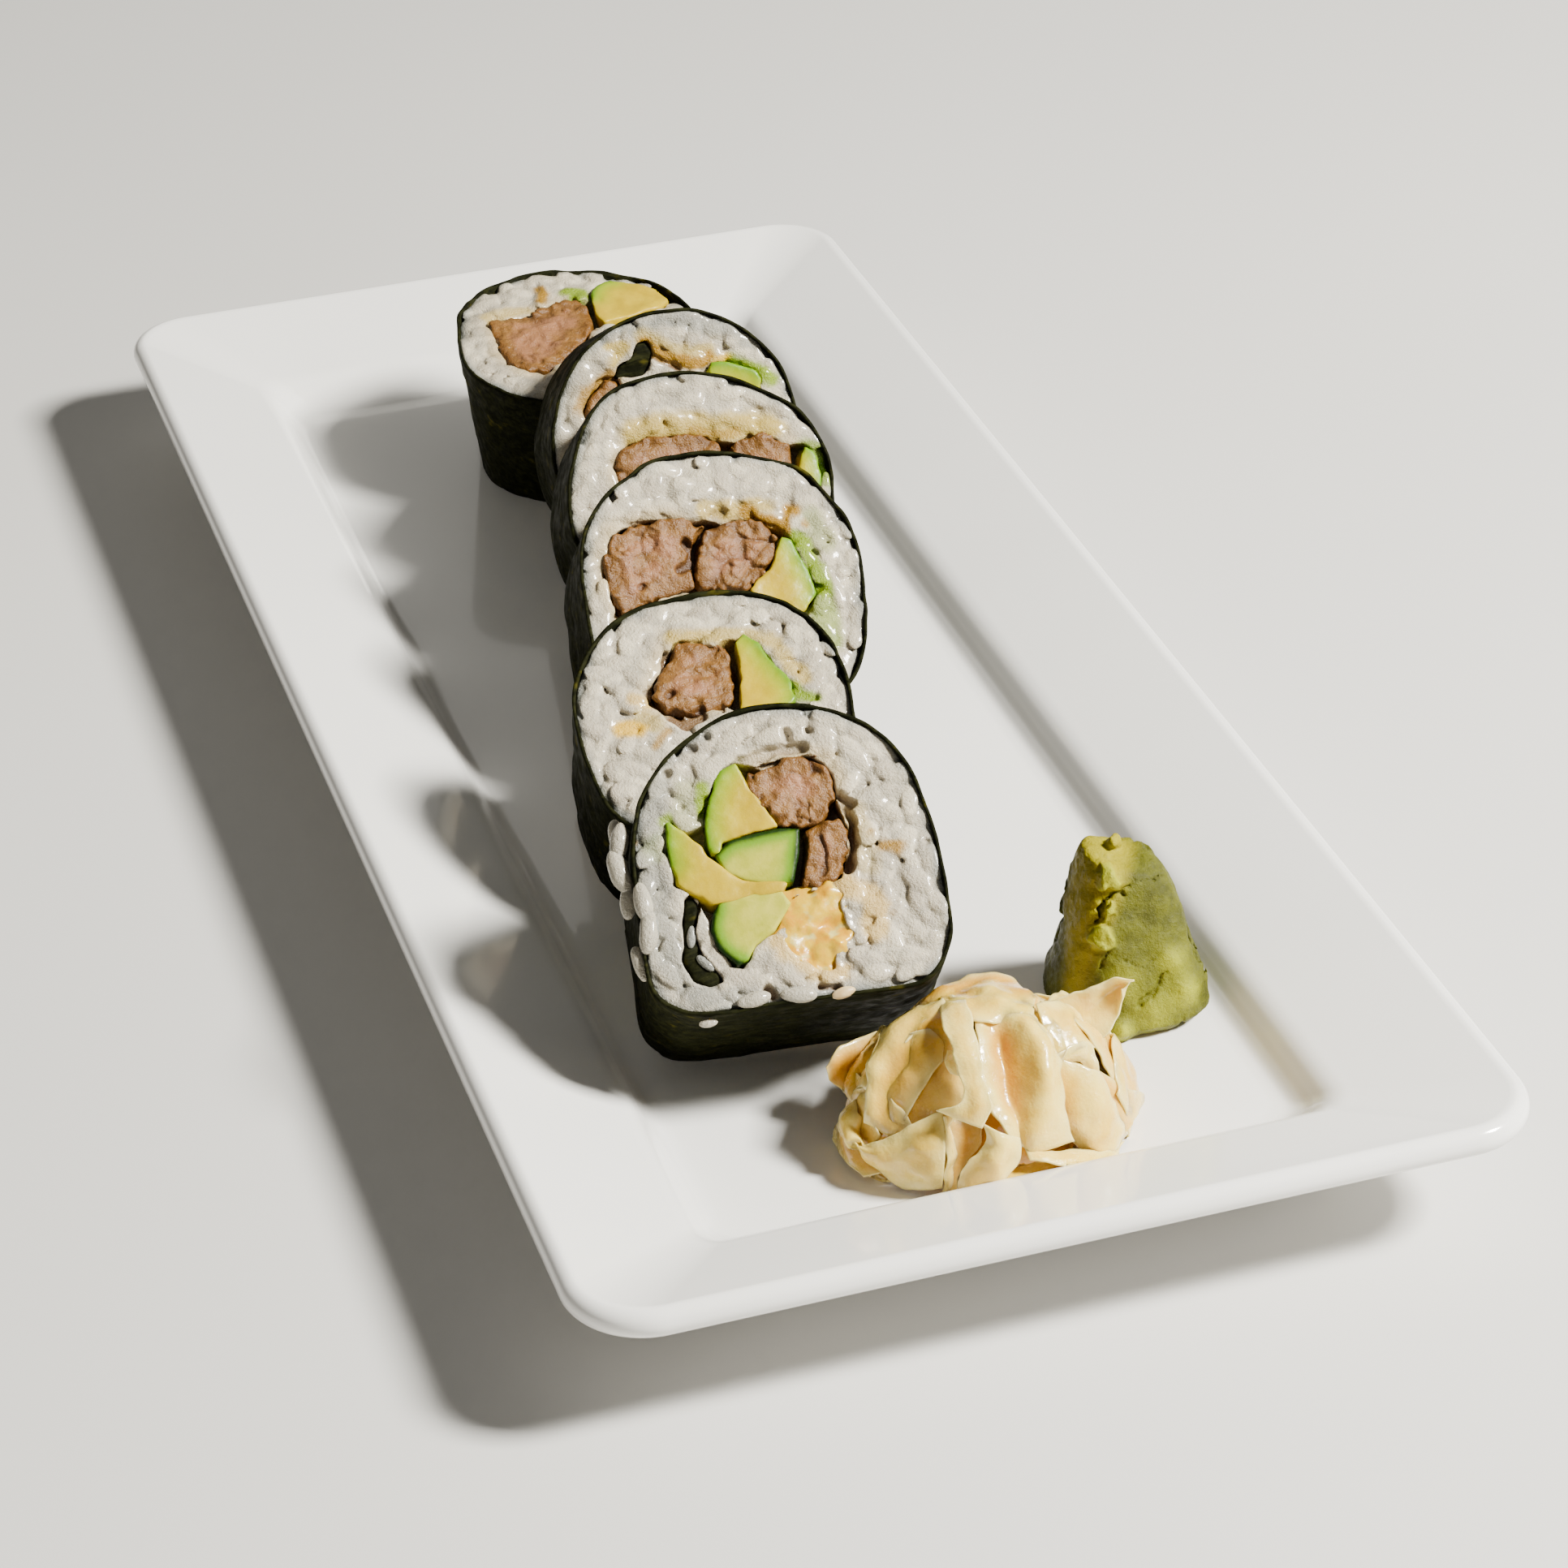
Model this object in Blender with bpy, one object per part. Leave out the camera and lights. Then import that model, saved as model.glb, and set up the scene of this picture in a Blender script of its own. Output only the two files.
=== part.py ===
"""Maki sushi on its plate: six cut slices, pickled ginger and wasabi on a white rectangular plate.

Five slices lean back on each other in a row and the sixth lies flat behind them.
Every slice is a nori sleeve round a body of rice, with its fillings running right through.

Sizes below are millimetres, and MM turns them into metres.
Frame: +Z up, +Y along the plate's long side, origin on the table under the plate's centre.
"""
import math

import bmesh
import bpy
from mathutils import Matrix, Vector

MM = 0.001

# ---------------------------------------------------------------- driving sizes
PLATE_HALF_X = 70.0       # outer edge, short way
PLATE_HALF_Y = 164.0      # outer edge, long way
PLATE_HEIGHT = 20.0       # table to the top of the lip
PLATE_CORNER = 12.0       # outer corner radius, seen from above
LIP_RADIUS = 2.2
FLOOR_Z = 7.7             # well floor, where the food lies
# Rows of the plate: distance in from the outer edge, corner radius, height.
# Its underside runs from the recess, over the foot ring, out to the lip.
UNDER_ROWS = [(33.0, 6.0, 2.6), (32.4, 6.5, 0.2), (32.0, 7.0, 0.0), (29.0, 9.0, 0.0), (28.5, 9.5, 0.5),
              (27.9, 9.5, 2.6), (24.5, 9.0, 5.0), (21.0, 8.5, 8.6), (16.0, 9.0, 10.8)]
# Its upper side runs from the foot of the rim's slope, down the well's wall to the floor.
WELL_ROWS = [(21.0, 4.6, 13.4), (22.0, 4.4, 12.7), (23.2, 4.6, 11.2), (24.5, 5.0, 9.3),
             (25.7, 5.4, 8.1), (27.2, 6.0, FLOOR_Z)]
CORNER_STEPS = 6          # facets in each plate corner
LIP_STEPS = 6             # facets round the lip

NORI_THICK = 0.5
GAP = 0.3                 # clearance kept between pieces that touch
CUT_GAP = 0.6             # clearance round each filling in the rice
OUTLINE_POINTS = 44       # facets round a slice

# Outlines of the slices: half sizes to the right, top, left and bottom of the centre, and how
# square each quarter is (2 is round), from top right anticlockwise.
# centre: where the middle of the front cut is, in X and Y.  turn: about Z.  lean: 0 stands the
# slice on its side wall, 90 lays it flat.  spin: about its own axis.  Angles are in degrees.
# skew: shift of the front cut against the back one.  slope: rise of the front cut over its face.
SLICES = {
    "1": dict(centre=(-20.2, -98.6), turn=-9.5, lean=47.9, spin=2.1, thick=28.0,
              half=(22.3, 23.2, 22.2, 21.1), square=(2.3, 2.2, 7.0, 4.6)),
    "2": dict(centre=(-16.2, -51.1), turn=-9.8, lean=62.1, spin=2.3, thick=24.8,
              half=(21.4, 22.9, 21.3, 20.9), square=(2.3, 2.3, 2.9, 2.9)),
    "3": dict(centre=(-2.5, -8.8), turn=-1.8, lean=45.3, spin=-5.7, thick=20.0,
              half=(23.4, 23.1, 23.1, 22.2), square=(2.4, 2.2, 3.2, 3.2)),
    "4": dict(centre=(3.1, 20.8), turn=-3.0, lean=38.5, spin=-15.7, thick=22.2,
              half=(22.5, 21.5, 22.5, 20.9), square=(2.3, 2.3, 2.3, 2.3)),
    "5": dict(centre=(7.3, 49.4), turn=-5.1, lean=28.6, spin=-0.9, thick=23.1,
              half=(21.8, 21.3, 21.8, 19.6), square=(2.2, 2.1, 2.6, 2.6)),
    "6": dict(centre=(7.0, 103.5), turn=-8.0, lean=90.0, spin=0.0, thick=27.0,
              half=(22.3, 22.0, 22.3, 22.0), square=(2.2, 2.2, 2.2, 2.2),
              skew=(-3.5, -7.5), slope=(-0.03, 0.13)),
}
LUMP = 0.012              # unevenness of a slice's outline, as a share of its radius

# Fillings of each slice, as the corners of their cut faces (right, up) from the slice's centre.
# An entry is: node, kind, corners, and how many times the corners are rounded off.
FILLINGS = {
    "1": [
        ("avocado_1a", "avocado", [(-5.0, 14.8), (-9.1, 11.9), (-10.8, 5.0), (-8.4, 3.9), (-0.8, 4.9),
                                   (-3.9, 10.3)], 1),
        ("avocado_1b", "avocado", [(-16.6, 7.2), (-12.3, 3.4), (-11.4, 0.8), (-8.6, -2.3), (-5.6, -3.6),
                                   (-9.8, -4.8), (-12.9, -4.4), (-15.9, -2.6), (-17.2, -0.8)], 1),
        ("tuna_1a", "tuna", [(-3.0, 12.7), (0.8, 14.8), (6.4, 14.4), (8.6, 10.5), (8.0, 5.8),
                             (3.8, 4.8), (0.6, 5.0), (-1.4, 7.6)], 1),
        ("tuna_1b", "tuna", [(3.4, 3.7), (7.8, 4.5), (9.6, 2.6), (7.7, -3.8), (5.8, -4.6), (1.6, -4.4)], 1),
        ("cucumber_1a", "cucumber", [(-10.0, 1.8), (-5.2, 3.5), (2.3, 3.7), (0.2, -3.9), (-4.3, -3.0),
                                     (-8.7, -1.1)], 1),
        ("cucumber_1b", "cucumber", [(-11.4, -5.8), (-4.2, -4.8), (0.4, -4.9), (-4.2, -9.9),
                                     (-7.4, -12.7), (-9.7, -13.8), (-12.3, -8.9)], 1),
        ("egg_mayo_1", "egg_mayo", [(1.4, -5.4), (8.2, -5.6), (7.2, -8.2), (10.4, -10.4), (5.6, -13.6),
                                    (5.0, -18.0), (0.8, -17.4), (-5.6, -12.6), (-3.2, -10.0)], 2),
    ],
    "2": [
        ("tuna_2", "tuna", [(-5.1, 13.9), (2.2, 12.8), (3.9, 6.6), (2.3, 1.6), (-2.0, -0.9), (-7.2, 1.4),
                            (-9.2, 4.8), (-6.5, 9.7)], 1),
        ("avocado_2", "avocado", [(4.4, 13.0), (6.6, 14.2), (10.4, 7.8), (12.6, 3.0), (11.2, -0.3),
                                  (3.6, 0.2), (5.1, 6.6)], 1),
    ],
    "3": [
        ("tuna_3a", "tuna", [(-17.3, 9.4), (-9.7, 12.8), (-2.3, 10.6), (-4.9, 6.2), (-6.4, 2.4),
                             (-9.0, -0.9), (-14.0, -3.9), (-18.0, -2.0), (-18.6, 3.2)], 1),
        ("tuna_3b", "tuna", [(-1.4, 9.9), (4.6, 11.4), (8.6, 9.4), (9.9, 4.3), (4.4, -0.9), (-2.2, -1.3),
                             (-5.0, 1.6), (-3.2, 6.0)], 1),
        ("avocado_3", "avocado", [(10.7, 7.6), (14.0, 4.6), (15.5, 0.0), (14.6, -4.4), (9.0, -6.2),
                                  (4.8, -2.0), (10.8, 3.6)], 1),
    ],
    "4": [
        ("tuna_4a", "tuna", [(-14.2, 6.9), (-6.0, 9.9), (1.8, 10.7), (3.2, 4.0), (-2.0, -2.3),
                             (-10.0, -1.8), (-14.7, 2.0)], 1),
        ("tuna_4b", "tuna", [(4.2, 10.0), (10.6, 12.2), (15.2, 9.2), (14.8, 3.0), (9.0, -0.3),
                             (4.6, 2.4)], 1),
        ("avocado_4", "avocado", [(16.2, 11.2), (18.6, 9.9), (20.3, 5.6), (18.6, 1.4), (15.9, 3.2)], 1),
    ],
    "5": [
        ("tuna_5", "tuna", [(-15.6, 6.8), (-11.0, 10.6), (-8.6, 9.6), (-9.6, 4.2), (-14.4, 2.2)], 1),
        ("avocado_5", "avocado", [(6.6, 11.5), (11.0, 11.2), (15.8, 8.8), (14.6, 4.0), (7.4, 5.4)], 1),
    ],
    "6": [
        ("tuna_6", "tuna", [(-15.8, 7.2), (-7.8, 8.0), (-3.4, 11.0), (1.3, 12.6), (3.5, 4.6), (0.0, -2.5),
                            (-5.7, -10.0), (-10.9, -10.6), (-13.9, -5.7), (-14.4, 0.8)], 1),
        ("avocado_6", "avocado", [(4.2, 12.9), (6.7, 17.1), (9.0, 17.4), (15.3, 14.6), (18.6, 8.4),
                                  (8.3, 4.4), (4.7, 3.6)], 1),
    ],
}

# Where fillings crowd together, the room between them that holds no rice.
POCKETS = {
    "1": [(-2.4, 7.4), (1.0, 5.4), (4.4, 4.6), (3.2, -6.0), (0.6, -7.0), (-2.0, -6.2), (-7.6, -5.0),
          (-9.4, -1.9), (-8.8, 2.4), (-9.4, 4.6)],
    "3": [(9.4, 6.0), (11.2, 5.6), (10.6, 3.2), (5.2, -2.2), (4.0, -1.2)],
}

# Inner ends of the nori sheets, which show at the cut as dark curls: node, thickness and the
# middle line of the strip, (right, up) from the slice's centre.
NORI_ENDS = {
    "1": ("nori_end_1", 0.9, [(-14.4, -5.6), (-15.6, -8.6), (-15.9, -11.8), (-14.6, -14.6),
                              (-12.2, -16.6)]),
    "5": ("nori_end_5", 0.9, [(-10.0, 16.0), (-8.0, 14.7), (-4.8, 15.0), (-3.4, 12.9),
                              (-5.2, 10.8)]),
}

# Pickled ginger: a heap with an uneven foot, and one slice that stands up out of it.
GINGER_CENTRE = (0.0, -121.0)   # middle of its foot
GINGER_TOP = (5.0, -122.0)      # below its highest point
GINGER_HEIGHT = 20.0
GINGER_FOOT = (22.0, 17.0, 12.0, 15.0, 19.0, 19.5, 19.0, 16.5, 18.0, 21.5)  # radii every 36 degrees
GINGER_TURNS = 40
GINGER_ROWS = 9
RAISED_SLICE = [(9.0, -123.6, 25.5), (22.0, -124.4, 31.0), (19.8, -126.6, 22.5), (11.6, -127.0, 20.0)]
RAISED_THICK = 1.0

# Wasabi: a lump pinched to a blunt top.  Rows of height, centre X and Y, half width X and Y.
WASABI_ROWS = [
    (0.0, 31.0, -99.6, 10.6, 10.4),
    (1.6, 31.2, -99.6, 12.0, 11.5),
    (6.0, 31.4, -99.4, 11.6, 10.8),
    (12.0, 31.2, -98.8, 9.8, 9.2),
    (18.0, 30.8, -98.2, 7.8, 7.6),
    (23.0, 31.0, -97.8, 6.0, 6.0),
    (25.6, 31.4, -97.6, 3.8, 4.0),
    (26.6, 31.4, -97.6, 1.4, 1.6),
]
WASABI_TURNS = 26

# Base colour and roughness of each kind of material.
LOOKS = {
    "porcelain": ((0.86, 0.85, 0.82), 0.12),
    "nori": ((0.020, 0.026, 0.020), 0.35),
    "rice": ((0.74, 0.72, 0.68), 0.40),
    "tuna": ((0.42, 0.24, 0.15), 0.60),
    "avocado": ((0.68, 0.68, 0.20), 0.45),
    "cucumber": ((0.48, 0.58, 0.24), 0.35),
    "egg_mayo": ((0.86, 0.66, 0.28), 0.35),
    "ginger": ((0.84, 0.69, 0.38), 0.30),
    "wasabi": ((0.36, 0.41, 0.08), 0.70),
}


# ---------------------------------------------------------------- shared helpers
def clear_scene():
    for item in list(bpy.data.objects):
        bpy.data.objects.remove(item, do_unlink=True)


def make_material(kind):
    """One Principled material for each kind of surface."""
    colour, roughness = LOOKS[kind]
    material = bpy.data.materials.get(kind) or bpy.data.materials.new(kind)
    material.use_nodes = True
    shader = material.node_tree.nodes["Principled BSDF"]
    shader.inputs["Base Color"].default_value = (*colour, 1.0)
    shader.inputs["Roughness"].default_value = roughness
    shader.inputs["Metallic"].default_value = 0.0
    return material


def add_object(name, mesh, kind=None, smooth=40.0):
    """Puts a mesh into the scene, with its material and its rounded faces shaded smooth."""
    item = bpy.data.objects.new(name, mesh)
    bpy.context.scene.collection.objects.link(item)
    if kind:
        mesh.materials.append(make_material(kind))
    mesh.shade_smooth()
    mesh.set_sharp_from_angle(angle=math.radians(smooth))
    return item


def loft(name, rings, closed=False):
    """A mesh through rings of equal length: each end is capped, or the last joins the first."""
    count = len(rings[0])
    body = bmesh.new()
    loops = [[body.verts.new(Vector(point) * MM) for point in ring] for ring in rings]
    pairs = list(zip(loops[:-1], loops[1:]))
    if closed:
        pairs.append((loops[-1], loops[0]))
    for low, high in pairs:
        for i in range(count):
            j = (i + 1) % count
            body.faces.new((low[i], low[j], high[j], high[i]))
    if not closed:
        body.faces.new(list(reversed(loops[0])))
        body.faces.new(loops[-1])
    bmesh.ops.recalc_face_normals(body, faces=body.faces)
    mesh = bpy.data.meshes.new(name)
    body.to_mesh(mesh)
    body.free()
    return mesh


def rounded(corners, times):
    """Cuts the corners of a closed outline, which rounds them a little more each time."""
    share = 0.22
    for _ in range(times):
        cut = []
        for i, (u, v) in enumerate(corners):
            next_u, next_v = corners[(i + 1) % len(corners)]
            cut.append((u + (next_u - u) * share, v + (next_v - v) * share))
            cut.append((next_u - (next_u - u) * share, next_v - (next_v - v) * share))
        corners = cut
    return corners


def grown(corners, by):
    """The closed outline moved outwards by a distance, for either winding."""
    points = [Vector(corner) for corner in corners]
    count = len(points)
    area = sum(points[i].x * points[(i + 1) % count].y - points[(i + 1) % count].x * points[i].y
               for i in range(count))
    side = 1.0 if area > 0 else -1.0
    result = []
    for i, point in enumerate(points):
        before = (point - points[i - 1]).normalized()
        after = (points[(i + 1) % count] - point).normalized()
        normal = Vector((before.y + after.y, -before.x - after.x)).normalized()
        stretch = max(0.6, normal.dot(Vector((after.y, -after.x))))
        moved = point + normal * (side * by / stretch)
        result.append((moved.x, moved.y))
    return result


def smooth_ring(values, angle):
    """Reads a closed list of evenly spaced values at any angle, along a smooth curve."""
    place = (angle % math.tau) / math.tau * len(values)
    index = int(place)
    part = place - index
    a, b, c, d = (values[(index + k) % len(values)] for k in (-1, 0, 1, 2))
    return b + 0.5 * part * (c - a + part * (2 * a - 5 * b + 4 * c - d + part * (3 * (b - c) + d - a)))


# ---------------------------------------------------------------- plate
def plate_ring(inset, corner, z):
    """A rounded rectangle at one height, anticlockwise from above, some way in from the edge."""
    half_x = PLATE_HALF_X - inset
    half_y = PLATE_HALF_Y - inset
    ring = []
    for quarter, (sign_x, sign_y) in enumerate(((1, 1), (-1, 1), (-1, -1), (1, -1))):
        for step in range(CORNER_STEPS + 1):
            angle = (quarter + step / CORNER_STEPS) * math.pi / 2
            ring.append((sign_x * (half_x - corner) + corner * math.cos(angle),
                         sign_y * (half_y - corner) + corner * math.sin(angle), z))
    return ring


def build_plate():
    """From the recess under the foot, out to the lip, and in over the rim to the well floor."""
    lip_middle = PLATE_HEIGHT - LIP_RADIUS
    lip = []
    for step in range(LIP_STEPS + 1):
        angle = math.pi * (step / LIP_STEPS - 0.5)
        inset = LIP_RADIUS * (1.0 - math.cos(angle))
        lip.append((inset, PLATE_CORNER - inset, lip_middle + LIP_RADIUS * math.sin(angle)))
    rings = [plate_ring(*row) for row in UNDER_ROWS + lip + WELL_ROWS]
    add_object("plate", loft("plate", rings), "porcelain", smooth=50.0)


def well_height(x, y):
    """Height of the plate's upper side at a point inside its lip."""
    inset = min(PLATE_HALF_X - abs(x), PLATE_HALF_Y - abs(y))
    rows = [(LIP_RADIUS, PLATE_HEIGHT)] + [(row[0], row[2]) for row in WELL_ROWS]
    for (near, high), (far, low) in zip(rows[:-1], rows[1:]):
        if inset < far:
            return high + (low - high) * max(0.0, inset - near) / (far - near)
    return FLOOR_Z


# ---------------------------------------------------------------- slices
def slice_outline(shape, inset=0.0):
    """The slice's outline in its own face, moved inwards by inset."""
    right, top, left, bottom = shape["half"]
    points = []
    for i in range(OUTLINE_POINTS):
        angle = math.tau * (i + 0.5) / OUTLINE_POINTS
        across, up = math.cos(angle), math.sin(angle)
        power = 2.0 / shape["square"][int(angle / (math.pi / 2))]
        wide = (right if across > 0 else left) - inset
        tall = (top if up > 0 else bottom) - inset
        lumps = math.sin(3 * angle + shape["lean"]) + 0.6 * math.sin(7 * angle + shape["thick"])
        swell = 1.0 + LUMP * lumps
        points.append((math.copysign(abs(across) ** power, across) * wide * swell,
                       math.copysign(abs(up) ** power, up) * tall * swell))
    return points


def slice_axes(shape):
    """Right and up in the front cut, and the way that cut faces."""
    turn = Matrix.Rotation(math.radians(shape["turn"]), 3, "Z")
    tip = Matrix.Rotation(-math.radians(shape["lean"]), 3, "X")
    spin = Matrix.Rotation(math.radians(-shape["spin"]), 3, "Y")
    frame = turn @ tip @ spin
    return frame @ Vector((1, 0, 0)), frame @ Vector((0, 0, 1)), frame @ Vector((0, -1, 0))


def slice_point(shape, u, v, depth):
    """A point of the slice: right, up, and back from its front cut."""
    right, up, facing = slice_axes(shape)
    skew_u, skew_v = shape.get("skew", (0.0, 0.0))
    slope_u, slope_v = shape.get("slope", (0.0, 0.0))
    front = 1.0 - depth / shape["thick"]
    depth -= (slope_u * u + slope_v * v) * front
    place = right * (u + skew_u * front) + up * (v + skew_v * front) - facing * depth
    return place + Vector((shape["centre"][0], shape["centre"][1], shape["height"]))


def slice_ring(shape, outline, depth):
    return [slice_point(shape, u, v, depth) for u, v in outline]


def rest_slice(shape):
    """Finds the height at which the slice's lowest point just rests on the well floor."""
    shape["height"] = 0.0
    outline = slice_outline(shape)
    lowest = min(point.z for depth in (0.0, shape["thick"]) for point in slice_ring(shape, outline, depth))
    shape["height"] = FLOOR_Z + GAP - lowest


def build_nori(key, shape):
    """The sleeve: a thin closed tube, a little longer than the rice at both cuts."""
    outer = slice_outline(shape)
    inner = slice_outline(shape, NORI_THICK)
    thick = shape["thick"]
    rings = [slice_ring(shape, outer, 0.0), slice_ring(shape, outer, thick),
             slice_ring(shape, inner, thick), slice_ring(shape, inner, 0.0)]
    add_object(f"nori_{key}", loft(f"nori_{key}", rings, closed=True), "nori")


def build_filling(shape, name, kind, outline):
    """A filling is a bar that runs from cut to cut."""
    rings = [slice_ring(shape, outline, GAP), slice_ring(shape, outline, shape["thick"] - GAP)]
    add_object(name, loft(name, rings), kind)


def add_cutter(name, shape, outline):
    """The room that a filling takes in the rice, which runs past both cuts."""
    over = 2.0
    rings = [slice_ring(shape, outline, -over), slice_ring(shape, outline, shape["thick"] + over)]
    cutter = add_object(f"{name}_cutter", loft(f"{name}_cutter", rings))
    cutter.hide_render = True
    cutter.display_type = "WIRE"
    return cutter


def strip_outline(line, thick):
    """A thin strip of even thickness round a line, with blunt ends."""
    points = [Vector(point) for point in line]
    left, right = [], []
    for i, point in enumerate(points):
        ahead = points[min(i + 1, len(points) - 1)] - points[max(i - 1, 0)]
        normal = Vector((-ahead.y, ahead.x)).normalized() * (thick / 2)
        left.append(tuple(point + normal))
        right.append(tuple(point - normal))
    return left + right[::-1]


def build_rice(key, shape, cutters):
    """Rice fills the sleeve, with room for each filling."""
    outline = slice_outline(shape, NORI_THICK + GAP)
    rings = [slice_ring(shape, outline, GAP), slice_ring(shape, outline, shape["thick"] - GAP)]
    rice = add_object(f"rice_{key}", loft(f"rice_{key}", rings), "rice")
    for cutter in cutters:
        cut = rice.modifiers.new(cutter.name, "BOOLEAN")
        cut.operation = "DIFFERENCE"
        cut.solver = "EXACT"
        cut.object = cutter


def build_slice(key, shape):
    rest_slice(shape)
    build_nori(key, shape)
    cutters = []
    for name, kind, corners, times in FILLINGS[key]:
        outline = rounded(corners, times)
        build_filling(shape, name, kind, outline)
        cutters.append(add_cutter(name, shape, grown(outline, CUT_GAP)))
    if key in NORI_ENDS:
        name, thick, line = NORI_ENDS[key]
        build_filling(shape, name, "nori", strip_outline(line, thick))
        cutters.append(add_cutter(name, shape, grown(strip_outline(line, thick), CUT_GAP)))
    if key in POCKETS:
        cutters.append(add_cutter(f"pocket_{key}", shape, POCKETS[key]))
    build_rice(key, shape, cutters)


# ---------------------------------------------------------------- garnishes
def build_ginger():
    """The heap: a low dome on an uneven foot, folded into pleats that fade towards its top."""
    rings = []
    for row in range(GINGER_ROWS):
        rise = math.radians(86.0) * row / (GINGER_ROWS - 1)
        middle = Vector(GINGER_CENTRE).lerp(Vector(GINGER_TOP), math.sin(rise))
        ring = []
        for step in range(GINGER_TURNS):
            angle = math.tau * step / GINGER_TURNS
            pleat = 0.07 * math.sin(5 * angle + 3.0 * rise) + 0.05 * math.sin(9 * angle - 2.0 * rise)
            radius = smooth_ring(GINGER_FOOT, angle) * math.cos(rise) ** 0.8 * (1.0 + pleat)
            height = GINGER_HEIGHT * math.sin(rise) ** 1.1 * (1.0 + 0.5 * pleat)
            x = middle.x + radius * math.cos(angle)
            y = middle.y + radius * math.sin(angle)
            foot = well_height(x, y) - FLOOR_Z
            ring.append((x, y, FLOOR_Z + GAP + height + foot * math.cos(rise)))
        rings.append(ring)
    add_object("ginger_heap", loft("ginger_heap", rings), "ginger", smooth=60.0)


def raised_slice_rings(spare=0.0):
    """Both faces of the standing ginger slice, with some spare room all round it."""
    corners = [Vector(corner) for corner in RAISED_SLICE]
    middle = sum(corners, Vector()) / len(corners)
    facing = (corners[1] - corners[0]).cross(corners[3] - corners[0]).normalized()
    wide = [corner + (corner - middle).normalized() * spare for corner in corners]
    return [[corner - facing * spare for corner in wide],
            [corner + facing * (RAISED_THICK + spare) for corner in wide]]


def build_raised_slice():
    """One thin slice of ginger that stands up from the heap, which has a slot for it."""
    add_object("ginger_raised", loft("ginger_raised", raised_slice_rings()), "ginger")
    cutter = add_object("ginger_slot", loft("ginger_slot", raised_slice_rings(2 * CUT_GAP)))
    cutter.hide_render = True
    cutter.display_type = "WIRE"
    slot = bpy.data.objects["ginger_heap"].modifiers.new("slot", "BOOLEAN")
    slot.operation = "DIFFERENCE"
    slot.solver = "EXACT"
    slot.object = cutter


def build_wasabi():
    """The wasabi: soft uneven rows under a blunt pinched top."""
    rings = []
    for height, centre_x, centre_y, half_x, half_y in WASABI_ROWS:
        ring = []
        for step in range(WASABI_TURNS):
            angle = math.tau * step / WASABI_TURNS
            lumps = 0.05 * math.sin(3 * angle + 0.20 * height) + 0.03 * math.sin(5 * angle - 0.35 * height)
            swell = 1.0 + lumps
            ring.append((centre_x + half_x * swell * math.cos(angle),
                         centre_y + half_y * swell * math.sin(angle), FLOOR_Z + GAP + height))
        rings.append(ring)
    add_object("wasabi", loft("wasabi", rings), "wasabi", smooth=60.0)


clear_scene()
build_plate()
for slice_key, slice_shape in SLICES.items():
    build_slice(slice_key, slice_shape)
build_ginger()
build_raised_slice()
build_wasabi()
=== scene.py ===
"""The looks of the maki plate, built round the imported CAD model.

Sizes are millimetres here, and MM turns them into metres.  A slice has its own coordinates, in
columns: x to the right, y back from its front cut, z up the cut.  All pieces ride on one body.
"""
import math
from itertools import product

import bpy
import numpy as np
from mathutils import Matrix, Vector


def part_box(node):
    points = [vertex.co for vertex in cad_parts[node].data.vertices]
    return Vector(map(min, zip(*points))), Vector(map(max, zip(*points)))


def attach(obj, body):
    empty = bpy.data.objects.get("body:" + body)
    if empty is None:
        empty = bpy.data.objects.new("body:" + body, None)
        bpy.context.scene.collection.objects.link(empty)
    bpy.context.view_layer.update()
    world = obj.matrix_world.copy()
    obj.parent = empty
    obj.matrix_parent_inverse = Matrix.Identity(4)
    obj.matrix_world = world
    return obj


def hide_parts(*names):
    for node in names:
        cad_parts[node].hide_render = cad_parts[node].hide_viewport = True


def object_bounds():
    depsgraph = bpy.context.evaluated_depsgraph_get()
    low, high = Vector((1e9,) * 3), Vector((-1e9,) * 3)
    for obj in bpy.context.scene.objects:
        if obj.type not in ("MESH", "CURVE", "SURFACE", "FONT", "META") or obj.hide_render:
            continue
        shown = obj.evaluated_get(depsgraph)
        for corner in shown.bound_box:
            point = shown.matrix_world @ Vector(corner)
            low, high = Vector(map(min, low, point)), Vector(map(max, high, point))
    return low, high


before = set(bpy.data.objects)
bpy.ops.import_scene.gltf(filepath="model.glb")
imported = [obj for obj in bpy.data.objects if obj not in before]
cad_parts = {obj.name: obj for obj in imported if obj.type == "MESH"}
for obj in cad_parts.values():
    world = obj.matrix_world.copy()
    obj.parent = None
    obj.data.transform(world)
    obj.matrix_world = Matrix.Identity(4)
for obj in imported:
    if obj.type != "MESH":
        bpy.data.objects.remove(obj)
cad_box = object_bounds()

MM = 0.001
BODY = "root"

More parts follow.
